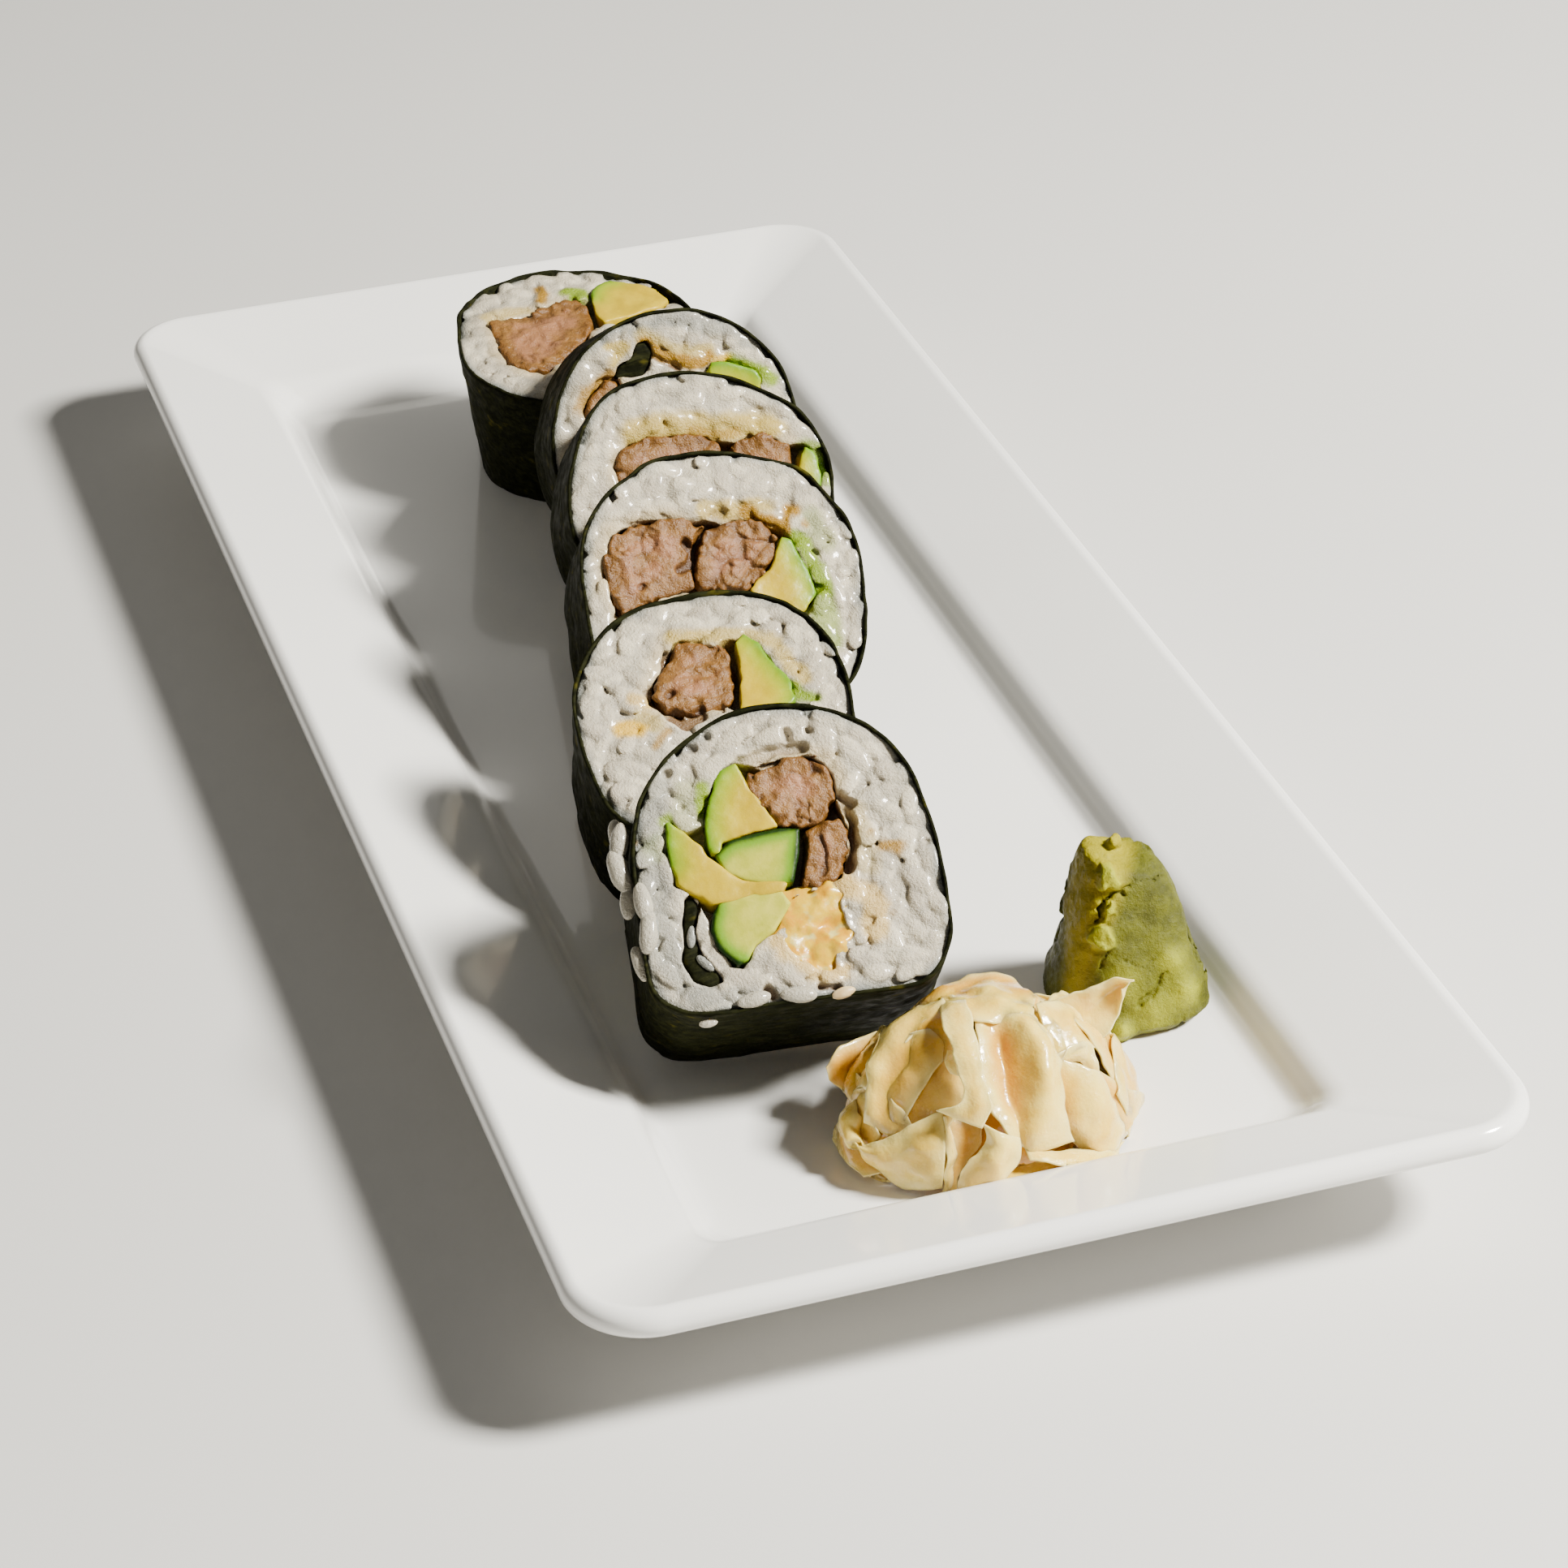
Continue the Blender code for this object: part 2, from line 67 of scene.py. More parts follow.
# ---------------------------------------------------------------- the slices, as the CAD has them
# Angles in degrees, as part.py turns them: about Z, back from upright, about the roll's own axis.
# half: half sizes to the right, top, left and bottom.  square: exponents, from top right round.
SLICES = {
    "1": dict(turn=-9.5, lean=47.9, spin=2.1, thick=28.0,
              half=(22.3, 23.2, 22.2, 21.1), square=(2.3, 2.2, 7.0, 4.6)),
    "2": dict(turn=-9.8, lean=62.1, spin=2.3, thick=24.8,
              half=(21.4, 22.9, 21.3, 20.9), square=(2.3, 2.3, 2.9, 2.9)),
    "3": dict(turn=-1.8, lean=45.3, spin=-5.7, thick=20.0,
              half=(23.4, 23.1, 23.1, 22.2), square=(2.4, 2.2, 3.2, 3.2)),
    "4": dict(turn=-3.0, lean=38.5, spin=-15.7, thick=22.2,
              half=(22.5, 21.5, 22.5, 20.9), square=(2.3, 2.3, 2.3, 2.3)),
    "5": dict(turn=-5.1, lean=28.6, spin=-0.9, thick=23.1,
              half=(21.8, 21.3, 21.8, 19.6), square=(2.2, 2.1, 2.6, 2.6)),
    "6": dict(turn=-8.0, lean=90.0, spin=0.0, thick=27.0,
              half=(22.3, 22.0, 22.3, 22.0), square=(2.2, 2.2, 2.2, 2.2),
              skew=(-3.5, -7.5), slope=(-0.03, 0.13)),
}
OUTLINE_POINTS = 44       # as in the CAD, so that the boxes match
LUMP = 0.012
FINE_OUTLINE = 88         # points round a slice where the looks are worked out
NEAR_SLICES = "123"       # these get the finer meshes
GAP = 0.3
NORI_THICK = 0.5
NORI_GRID = {True: (300, 36), False: (220, 22)}     # points round and across a sheet, near or not
FINE = {"1": 0.30, "2": 0.33, "3": 0.36, "4": 0.40, "5": 0.40, "6": 0.40}   # grid step of the rice

# ---------------------------------------------------------------- rice
GRAIN = (3.2, 1.4, 1.15)  # half length, half width, half thickness
LAYERS = ((1.0, 2.2), (2.3, 2.6))    # depth of the grains' middles under the cut, and their spacing
SQUASH = 1.9              # how much the knife flattens a grain's outer half
BLEND = 0.22              # how far grains melt into each other
CORE_DEPTH = (1.1, 2.3)   # the solid core starts between these depths
CARVE_DEPTH = 4.6         # the room round the fillings goes this deep
RICE_REACH, FILLING_REACH = 5.5, 4.0      # the grids are fine this deep under a cut
SPARE = 1.2               # room round a grid's shape
PAIR_GAP = 3.2            # rice is left out where two fillings are this close
GRAIN_LENGTHS = (0.62, 0.85, 1.0, 1.05)
GRAIN_TRIES = 12          # directions tried for each grain
GRAIN_OVERLAP = 0.45      # how far a grain may reach over the nori or a filling
KEEP_RICE = 0.5           # share of faces that decimation keeps
FAR = 9.0                 # a distance beyond every field's reach
EGG = "egg_mayo_1"

# Colours of the rice by place: kind of mark, points in the cut (x, z), reach and strength. The greyed kind is
# painted shade, on the first slice's left side and lower edge and along the fifth slice's top; the rest are
# stains.
STAINS_AND_SHADE = {
    "1": [("sauce", [(10.5, 6.0), (12.0, 1.5), (11.5, -2.0)], 2.2, 0.35),
          ("spot", [(14.0, 0.5), (16.3, -0.2)], 1.3, 0.9),
          ("spot", [(12.6, 2.7)], 0.6, 0.6),
          ("spot", [(13.7, -9.7)], 0.7, 0.4),
          ("spot", [(-21.0, 6.0)], 0.6, 0.6),
          # painted shade: the first slice's left side and lower edge greyed
          ("grey_shade", [(-17.0, 14.0), (-20.0, 6.0), (-19.8, -4.0), (-18.4, -12.0), (-15.0, -17.5)], 3.6, 0.55),
          ("grey_shade", [(-13.0, -18.5), (4.0, -20.0)], 1.8, 0.5),
          ("yolk", [(8.0, -4.8), (11.0, -7.0), (11.0, -11.5)], 2.4, 0.5),
          ("yolk", [(-3.4, -11.5), (1.0, -16.6), (5.2, -17.0)], 2.0, 0.5),
          ("green", [(-10.4, 12.4), (-10.6, 9.6)], 1.5, 1.0),
          ("green", [(-12.5, 12.5), (-13.5, 5.5), (-17.8, 4.5)], 2.8, 0.3),
          ("green", [(-16.2, 8.4)], 1.3, 0.9)],
    "2": [("yolk", [(-14.4, 0.5), (-12.2, -0.3)], 1.9, 0.9),
          ("yolk", [(-12.0, 5.1), (-10.2, 4.1)], 1.4, 0.5),
          ("spot", [(-10.1, -3.7), (-7.8, -1.3)], 1.1, 0.8),
          ("sauce", [(-11.0, 2.0), (-9.0, 0.0)], 2.0, 0.6),
          ("sauce", [(-4.2, 15.2), (3.4, 14.6), (8.7, 13.6), (11.2, 11.9), (12.6, 8.7), (14.2, 5.0)],
           1.8, 0.7),
          ("green", [(12.8, 3.8), (13.4, 2.1), (15.4, 1.4)], 1.5, 1.0)],
    "3": [("spot", [(5.6, 12.9), (7.2, 11.4), (10.6, 10.2), (11.4, 8.4)], 1.4, 1.0),
          ("spot", [(11.4, 8.4), (12.4, 12.2), (13.8, 11.8)], 1.3, 1.0),
          ("spot", [(14.9, 9.8)], 1.0, 0.9),
          ("sauce", [(-0.9, 13.4), (2.4, 13.0), (9.0, 13.2)], 1.9, 0.7),
          ("green", [(13.4, 7.8), (15.4, 3.0), (16.9, -1.8)], 2.0, 1.0),
          ("green", [(15.8, 10.9), (18.1, 6.4)], 2.4, 0.4),
          ("green", [(15.8, -4.4), (16.8, -9.9)], 3.2, 0.75)],
    "4": [("sauce", [(-11.9, 9.8), (-7.9, 11.0), (-2.6, 12.0), (2.0, 11.8), (5.0, 13.0), (10.5, 13.6)],
           3.2, 0.8),
          ("spot", [(-2.6, 11.2), (3.0, 11.0), (5.0, 12.0)], 1.0, 0.6),
          ("green", [(16.2, 10.8), (20.1, 10.0), (20.8, 6.0)], 1.9, 0.8)],
    "5": [("spot", [(-3.7, 16.6), (-1.4, 14.4), (1.2, 12.8), (4.4, 11.8), (6.8, 11.8), (7.4, 12.8)],
           1.3, 1.0),
          ("sauce", [(-3.7, 17.4), (1.2, 13.6), (7.4, 13.2)], 2.3, 0.7),
          ("sauce", [(-9.8, 13.5), (-7.3, 15.9), (-10.0, 16.2)], 1.3, 0.8),
          ("spot", [(-16.4, 5.7), (-14.9, 8.2), (-10.3, 11.4)], 1.4, 0.8),
          ("yolk", [(8.1, 12.0), (10.0, 12.2)], 1.3, 0.8),
          ("green", [(10.9, 11.6), (14.9, 10.0), (17.4, 7.8)], 1.8, 1.0),
          # painted shade: greyed rice along the top, by the nori
          ("grey_shade", [(-5.1, 18.6), (0.7, 19.8), (11.7, 17.2), (16.2, 14.4)], 2.0, 0.6)],
    "6": [("spot", [(-4.8, 17.0), (-4.4, 14.4), (-5.2, 12.0)], 1.4, 1.0),
          ("green", [(0.3, 15.0), (2.6, 14.0), (1.2, 13.0)], 2.0, 1.0),
          ("sauce", [(-8.0, 10.6), (-15.5, 8.4)], 1.6, 0.5)],
}
STAIN_AND_SHADE_KINDS = ("sauce", "spot", "yolk", "green", "grey_shade")
# What colours the rice, one over the other: painted value, strength and colour. Three are painted shade:
# darker lines where grains meet, greyed rice where it meets the nori, and dark brown deep by the tuna and in
# the hollows, which also stands for soaked sauce.
RICE_STAINS_AND_SHADE = [("seam_shade", 0.45, (0.22, 0.205, 0.165)), ("warm", 0.40, (0.48, 0.33, 0.09)),
               ("rim", 1.0, (0.16, 0.175, 0.165)), ("green", 1.0, (0.17, 0.25, 0.001)),
               ("sauce", 1.0, (0.42, 0.29, 0.022)), ("yolk", 1.0, (0.68, 0.40, 0.004)),
               ("soak_and_shade", 1.0, (0.11, 0.048, 0.010)), ("spot", 1.0, (0.30, 0.155, 0.003))]
# Hollows in the cut: points in the cut, reach, depth and how dark they are, the darkness being painted shade.
HOLLOWS = {
    "1": [([(9.6, 6.8), (10.3, 4.6), (9.7, 1.0), (8.5, -2.2)], 0.55, 2.4, 0.6),
          ([(9.0, 8.8), (10.4, 7.2)], 0.7, 2.0, 0.5),
          ([(-4.2, 15.8), (-1.2, 16.0), (1.0, 16.6), (4.6, 16.4)], 0.9, 1.6, 0.15),
          ([(2.8, 3.2), (2.3, 0.4), (1.2, -3.2)], 0.5, 3.0, 1.0),
          ([(5.3, 3.0), (5.7, 0.8), (5.5, -0.6), (4.7, -2.6)], 0.45, 1.1, 0.7),
          ([(-11.2, 18.6), (-10.6, 18.4)], 0.6, 1.2, 0.2),
          ([(-15.0, 15.2)], 0.7, 1.2, 0.2),
          ([(-8.5, 20.1)], 0.6, 1.2, 0.2),
          ([(-13.5, 10.1)], 0.5, 1.0, 0.1),
          ([(2.9, 19.3), (3.0, 18.2)], 0.5, 1.2, 0.1),
          ([(6.3, 18.9)], 0.5, 1.0, 0.1),
          ([(20.4, 0.2)], 0.6, 1.0, 0.2),
          ([(-5.9, -18.2), (-5.2, -19.0)], 0.6, 2.0, 0.7),
          ([(1.8, -18.7), (4.3, -19.2)], 0.5, 2.0, 0.8)],
    "2": [([(-6.7, 4.9), (-6.2, 5.4)], 0.5, 1.0, 0.8),
          ([(-6.4, 1.4), (-5.0, 0.0), (-2.4, 1.2)], 1.2, 1.6, 0.9)],
    "3": [([(-5.0, 7.8), (-3.9, 6.2), (-4.6, 4.0), (-6.4, 3.4)], 0.7, 1.5, 0.8),
          ([(-13.1, 0.6), (-12.6, 1.0)], 0.4, 0.8, 0.7),
          ([(-0.2, 12.2), (1.6, 12.5)], 0.8, 1.4, 0.3)],
    "5": [([(-3.0, 14.2), (-0.6, 12.6), (1.6, 11.2)], 0.6, 1.5, 1.0)],
}
# Grains on the outside of the first slice: x, depth, z, direction in degrees and size.
LOOSE_GRAINS = [(-23.1, 2.2, 6.6, 75, 0.95), (-23.7, 2.0, 2.2, 100, 1.05), (-23.1, 2.4, -2.0, 80, 0.9),
                (-21.2, 0.3, -3.2, 95, 0.95), (-21.1, 0.2, -7.6, 78, 1.0), (-22.9, 1.6, -11.5, 98, 0.8),
                (-23.2, 5.0, 8.6, 85, 0.75), (-14.8, 1.3, -21.5, 0, 0.45), (-15.2, 0.9, -8.9, 78, 0.5),
                (-13.8, 0.9, -13.0, -50, 0.5), (-8.0, -0.1, -19.4, 8, 0.8), (-1.6, 0.0, -19.6, -8, 0.85)]
SESAME = [(4.7, 0.1, -20.2, 10, 0.55)]

# ---------------------------------------------------------------- fillings
# Outlines of fillings in the cut, in x and z, where the looks are finer than the CAD.
CUTS = {
    "tuna_1a": [(-4.0, 13.3), (-2.0, 14.0), (0.5, 14.5), (1.8, 15.3), (6.1, 15.0), (7.6, 13.4),
                (8.6, 10.8), (8.1, 8.2), (6.8, 6.6), (5.2, 5.6), (2.5, 4.7), (-0.3, 6.0), (-2.6, 9.0),
                (-3.6, 11.0)],
    "tuna_1b": [(3.5, 4.4), (5.1, 5.1), (7.0, 5.6), (8.6, 5.0), (9.5, 3.5), (8.8, 0.6), (8.0, -1.4),
                (7.2, -3.2), (4.0, -3.9), (1.8, -3.9), (2.4, -0.3), (3.1, 2.2)],
    "avocado_1a": [(-5.1, 15.3), (-7.2, 14.6), (-9.4, 10.9), (-10.5, 7.4), (-10.8, 4.4), (-10.4, 2.6),
                   (-9.3, 2.4), (-9.0, 4.2), (-0.5, 5.3), (-1.9, 8.2), (-3.7, 11.2)],
    "avocado_1b": [(-16.0, 7.7), (-14.2, 6.4), (-11.5, 3.8), (-11.1, 2.2), (-9.1, -0.5), (-7.0, -1.7),
                   (-4.7, -2.7), (-1.0, -3.4), (-1.6, -4.2), (-5.3, -4.2), (-8.6, -4.8), (-11.4, -4.6),
                   (-13.8, -3.0), (-16.0, -1.2), (-16.5, 1.6), (-16.4, 5.0)],
    "cucumber_1a": [(-9.9, 2.3), (-7.7, 4.0), (-4.2, 4.5), (-0.4, 4.8), (2.3, 4.4), (1.6, 0.6),
                    (0.3, -3.1), (-3.4, -2.9), (-6.5, -1.9), (-8.9, -0.4)],
    "cucumber_1b": [(-11.6, -6.1), (-10.5, -4.9), (-5.3, -4.2), (-1.5, -4.4), (-0.6, -6.2), (-3.5, -9.8),
                    (-6.5, -11.4), (-7.9, -13.4), (-9.3, -14.0), (-11.6, -11.4), (-12.3, -8.6)],
    "egg_mayo_1": [(-1.2, -4.6), (1.5, -4.4), (4.5, -4.7), (8.2, -4.4), (9.4, -5.6), (7.4, -7.6),
                   (8.6, -10.2), (10.4, -12.0), (8.2, -13.4), (5.6, -14.9), (5.0, -17.0), (3.6, -17.8),
                   (1.0, -17.2), (-1.4, -15.2), (-3.8, -12.4), (-5.4, -11.2), (-3.0, -9.8), (-0.9, -7.4)],
    "nori_end_1": [(-14.2, -2.9), (-13.6, -4.6), (-14.2, -7.2), (-14.6, -9.5), (-14.2, -11.8),
                   (-12.6, -14.2), (-11.8, -16.2), (-13.6, -16.6), (-15.8, -15.2), (-16.8, -12.2),
                   (-16.2, -9.0), (-15.9, -6.6), (-15.2, -3.6)],
    "tuna_2": [(-4.4, 14.0), (-0.7, 13.6), (2.8, 12.3), (4.2, 9.7), (3.6, 5.8), (3.3, 3.2), (0.1, 2.2),
               (-3.9, 1.6), (-7.4, 2.6), (-9.0, 5.3), (-8.3, 7.3), (-6.5, 10.2)],
    "avocado_2": [(5.0, 12.8), (6.6, 14.2), (8.4, 11.9), (9.9, 8.9), (12.1, 4.4), (12.4, 1.6), (10.8, 0.2),
                  (3.9, 0.6), (4.2, 3.4), (4.8, 6.0), (5.1, 9.7)],
    "tuna_3a": [(-16.4, 9.7), (-13.9, 10.9), (-9.9, 11.9), (-5.4, 11.4), (-1.8, 10.4), (-2.9, 8.6),
                (-4.2, 6.6), (-4.4, 4.2), (-4.8, 1.8), (-5.0, 0.4), (-8.2, -0.6), (-10.3, -1.4),
                (-13.2, -3.0), (-16.6, -3.8), (-18.3, 0.0), (-18.2, 3.6), (-17.4, 7.2)],
    "tuna_3b": [(-1.2, 9.6), (0.8, 10.4), (3.4, 11.2), (5.9, 11.4), (8.9, 9.6), (10.0, 7.6), (9.0, 4.4),
                (6.8, 1.7), (4.0, -0.5), (-2.3, -0.4), (-3.8, 1.4), (-3.4, 4.4), (-2.8, 7.0)],
    "avocado_3": [(10.9, 7.4), (12.1, 7.0), (13.6, 3.4), (14.8, 0.2), (15.2, -2.0), (13.4, -4.6),
                  (10.0, -5.8), (7.4, -4.6), (5.6, -2.6), (4.9, -0.9), (8.3, 2.3), (9.7, 5.1)],
    "nori_end_5": [(-9.4, 10.8), (-8.4, 12.6), (-6.4, 13.8), (-5.0, 16.2), (-3.4, 16.4), (-2.6, 14.6),
                   (-3.4, 12.4), (-4.6, 10.6)],
}
# Where each filling's skin or green rim is: the direction it faces in the cut.
SKIN_SIDES = {
    "avocado_1a": [(-0.9, 0.5)], "avocado_1b": [(-0.8, 0.7)],
    "cucumber_1a": [(-0.2, 1.0), (1.0, -0.1)], "cucumber_1b": [(-0.9, -0.35), (-0.6, -0.8)],
    "avocado_2": [(0.9, 0.4)], "avocado_3": [(0.95, 0.3)], "avocado_4": [(0.9, 0.4)],
    "avocado_5": [(0.4, 0.9)], "avocado_6": [(-0.6, 0.8)],
}
# A filling's own behaviour: raggedness of its outline, relief of its cut, size of that relief,
# rounding of its edges, grid step, and how far it swells to press on its neighbours.
FILLING_FORM = {
    "tuna": dict(ragged=0.9, relief=0.9, size=3.0, rounding=0.7, step=0.26, grow=0.25),
    "avocado": dict(ragged=0.5, relief=0.4, size=3.2, rounding=0.4, step=0.30, grow=0.20),
    "cucumber": dict(ragged=0.08, relief=0.10, size=4.0, rounding=0.3, step=0.30, grow=0.15),
    "egg_mayo": dict(ragged=1.6, relief=1.7, size=3.0, rounding=1.4, step=0.28, grow=0.70),
    "nori_end": dict(ragged=0.1, relief=0.6, size=3.0, rounding=0.3, step=0.26, grow=0.0),
}
PROUD = {"tuna_1a": 0.3, "tuna_1b": -0.2, "avocado_1b": 0.4, "egg_mayo_1": 0.2, "nori_end_1": -0.7,
         "nori_end_5": -0.6}  # how far a cut stands out
PROUD_USUAL = 0.2
KEEP_FILLING = 0.6
FIRM = ("tuna", "avocado", "cucumber")      # grains don't lie over these
CREASE_SIZE = (5.6, 2.4)  # coarse and fine flakes of the tuna

# ---------------------------------------------------------------- ginger
# The slices of ginger as seen from the front.  Each is a sheet through two or more lines, and a
# point is right, up and nearer, from the heap's middle, where 0 is on the heap's mound.
GINGER_SLICES = {
    "back_left": [
        [(-23.3, -0.5, -2.5), (-21.5, 2.0, -3.0), (-18.0, 3.6, -4.0), (-14.0, 5.0, -5.0)],
        [(-22.8, -2.2, -2.5), (-21.0, -3.8, -2.5), (-18.5, -6.0, -3.0), (-15.0, -8.0, -4.0)]],
    "left_under": [
        [(-20.5, -7.0, -1.5), (-22.0, -10.0, -1.0), (-21.0, -12.8, -0.5), (-17.5, -15.6, 0.0)],
        [(-18.0, -7.5, -3.0), (-18.0, -10.0, -3.0), (-17.5, -12.5, -2.5), (-15.0, -15.0, -2.0)]],
    "cup": [
        [(-6.5, 9.2, 0.5), (-11.3, 7.8, 1.0), (-14.6, 5.0, 1.5), (-16.6, 1.5, 1.5), (-17.4, -3.0, 1.0),
         (-17.6, -7.6, 0.0)],
        [(-5.8, 8.0, -1.0), (-9.0, 5.0, -1.4), (-11.0, 2.0, -1.6), (-12.5, -1.5, -1.6),
         (-13.5, -5.5, -1.5), (-14.0, -9.5, -1.4)],
        [(-4.5, 7.5, 0.0), (-4.0, 4.0, -0.2), (-3.5, 0.5, -0.3), (-3.5, -3.0, -0.3), (-4.5, -6.0, -0.4),
         (-8.0, -9.5, -0.8)]],
    "lower_left": [
        [(-19.0, -4.8, -1.5), (-20.7, -7.0, -0.2), (-20.2, -9.6, 1.0), (-17.6, -10.5, 1.2),
         (-13.2, -8.5, 0.6), (-10.6, -7.1, 0.6), (-7.2, -5.6, 0.6)],
        [(-18.6, -6.5, -0.6), (-19.8, -8.6, 0.9), (-18.8, -11.2, 1.9), (-15.6, -12.6, 2.0),
         (-12.0, -12.2, 1.3), (-9.4, -11.2, 1.1), (-6.7, -10.5, 0.8)],
        [(-18.4, -7.6, -2.0), (-18.8, -10.2, -1.0), (-17.3, -13.2, 0.0), (-15.2, -15.4, 0.0),
         (-12.4, -17.0, 0.0), (-9.8, -17.0, 0.0), (-7.0, -16.5, 0.0)]],
    "ribbon": [
        [(-7.0, 9.8, 0.5), (-6.9, 6.0, 1.8), (-5.7, 2.5, 2.8), (-4.6, -1.3, 3.3), (-4.7, -4.0, 3.4),
         (-8.0, -5.5, 2.6)],
        [(-3.7, 9.8, 1.0), (-2.3, 4.7, 2.4), (-1.8, 1.6, 3.0), (-1.0, -2.5, 3.4), (-0.4, -5.4, 3.5),
         (-1.8, -7.8, 3.0)]],
    "curl": [
        [(-6.9, 3.0, 0.6), (-7.0, 1.2, 1.2), (-5.9, -0.4, 1.2)],
        [(-5.0, 3.2, 1.5), (-5.3, 1.0, 1.8), (-4.8, -0.7, 1.8)]],
    "hollow": [
        [(-2.5, 7.2, 0.5), (-2.0, 3.0, 0.2), (-1.5, 0.0, 0.2), (-0.8, -3.0, 0.6), (0.2, -6.5, 1.0),
         (2.2, -9.8, 1.2)],
        [(0.2, 7.2, -0.5), (1.2, 3.5, -2.6), (1.8, 0.0, -3.0), (2.4, -3.5, -2.0), (3.2, -7.2, -0.5),
         (4.2, -10.8, 0.6)],
        [(3.4, 8.2, 0.8), (5.4, 5.4, 2.0), (6.8, 1.6, 2.3), (7.2, -2.5, 2.3), (6.7, -7.0, 2.1),
         (5.6, -11.7, 1.4)],
        [(5.6, 7.6, 0.0), (8.5, 4.1, 0.4), (9.7, 1.2, 0.5), (10.0, -2.5, 0.8), (10.7, -6.5, 1.2),
         (11.6, -10.2, 1.6)]],
    "right": [
        [(7.6, 2.4, -0.8), (12.0, 0.6, 0.6), (15.4, -1.2, 0.9), (17.5, -5.0, 0.9), (20.2, -10.0, 0.2)],
        [(7.0, -1.5, -1.8), (10.8, -3.2, -0.9), (14.0, -5.6, 0.9), (15.8, -8.4, 1.2), (18.2, -11.6, 0.4)],
        [(6.4, -5.0, -2.4), (9.0, -8.0, -2.2), (11.6, -10.4, -0.8), (13.8, -12.4, 0.4),
         (16.4, -13.4, 0.4)]],
    "ear": [
        [(8.4, 1.2, 0.0), (10.6, 3.0, 0.6), (12.6, 3.6, 0.8), (14.4, 2.4, 0.6), (15.3, -1.6, 0.0)],
        [(8.6, 0.0, -1.5), (10.2, 0.6, -1.2), (11.6, 0.8, -1.0), (13.0, 0.0, -1.0), (14.0, -2.5, -1.0)]],
    "root": [
        [(6.0, 8.2, 0.2), (9.0, 8.9, 0.3), (12.4, 8.4, 0.1)],
        [(7.2, 5.0, -0.3), (10.2, 5.6, -0.6), (13.6, 6.0, -0.2)],
        [(8.9, 1.6, 0.2), (11.8, 2.3, 0.4), (14.8, 3.0, 0.4)]],
    "far_right": [
        [(13.5, 0.5, -2.5), (18.4, -3.0, -1.0), (21.6, -4.2, -0.8), (21.8, -6.4, -0.8),
         (19.8, -9.2, -0.6)],
        [(10.0, 0.0, -2.5), (13.0, -4.0, -2.0), (15.0, -7.0, -1.5), (16.5, -10.0, -1.2),
         (17.4, -12.0, -0.8)]],
    "shoulder": [
        [(5.0, 8.4, 0.2), (7.5, 7.4, 0.5), (9.5, 5.5, 0.3), (10.5, 2.5, 0.2)],
        [(5.5, 5.5, -0.5), (7.0, 4.0, -0.6), (8.2, 2.2, -0.6), (9.0, -0.5, -0.8)]],
    "upper_lip": [
        [(4.4, -10.4, 0.6), (8.3, -11.2, 0.8), (12.0, -11.6, 0.8), (16.0, -12.0, 0.6), (19.6, -10.6, 0.0)],
        [(5.2, -12.4, 2.6), (8.3, -13.2, 3.2), (11.1, -13.9, 3.6), (13.8, -15.0, 4.0),
         (17.2, -14.0, 3.0)]],
    "lower_lip": [
        [(-0.8, -16.4, 2.6), (2.6, -15.8, 3.4), (6.4, -15.7, 4.2), (11.1, -16.0, 4.6), (15.6, -15.2, 3.6)],
        [(0.5, -14.5, -0.5), (3.5, -13.8, -0.8), (7.0, -13.2, -0.8), (10.5, -13.0, -0.8),
         (14.0, -13.4, -0.6)]],
    "foot": [
        [(-1.6, -7.2, 2.6), (-1.4, -10.1, 2.6), (-3.4, -12.3, 2.8), (-5.0, -14.6, 2.2),
         (-4.7, -16.9, 1.6)],
        [(1.2, -8.5, 3.2), (1.2, -11.0, 3.4), (-0.6, -13.4, 3.4), (-2.6, -15.0, 3.0), (-3.2, -17.0, 2.2)],
        [(3.4, -9.3, 1.8), (3.9, -11.8, 2.0), (2.0, -14.2, 2.2), (-0.3, -15.4, 2.4), (-1.6, -16.9, 1.8)]],
    "deep": [
        [(-6.8, -6.5, -2.0), (-6.0, -10.0, -2.2), (-6.0, -14.0, -1.8), (-7.0, -17.4, -0.8)],
        [(-1.2, -8.0, -3.0), (-2.2, -11.0, -3.2), (-4.2, -14.0, -2.6), (-5.0, -17.2, -1.2)]],
    "inner_wall": [
        [(-6.7, -6.4, 0.4), (-6.5, -10.0, 0.6), (-6.5, -14.0, 0.5), (-6.9, -17.5, 0.0)],
        [(-6.2, -7.0, -1.4), (-5.4, -10.1, -1.6), (-4.9, -12.8, -1.6), (-5.6, -17.1, -0.8)]],
    "crumple": [
        [(-11.2, 7.6, -4.5), (-7.7, 10.0, -4.5), (-5.0, 11.2, -4.0), (-0.8, 12.9, -4.0), (3.4, 11.9, -4.0),
         (6.4, 9.4, -3.0)],
        [(-9.0, 8.2, -1.0), (-5.6, 9.6, 0.4), (-2.6, 9.4, -0.4), (0.8, 9.9, 1.0), (3.6, 8.9, 0.2),
         (6.0, 8.2, 0.0)],
        [(-6.0, 6.6, -1.0), (-3.6, 6.4, 0.0), (-1.2, 6.2, 0.3), (1.8, 6.4, -0.6), (3.8, 6.8, 0.6),
         (5.6, 5.8, 0.6)]],
    "crest": [
        [(4.4, 10.8, -4.0), (6.6, 9.6, -3.0), (7.0, 7.6, -2.0), (8.6, 4.6, -1.5)],
        [(2.6, 8.6, 0.6), (4.6, 8.0, 1.2), (6.0, 6.6, 1.2), (7.4, 3.8, 1.0)]],
}
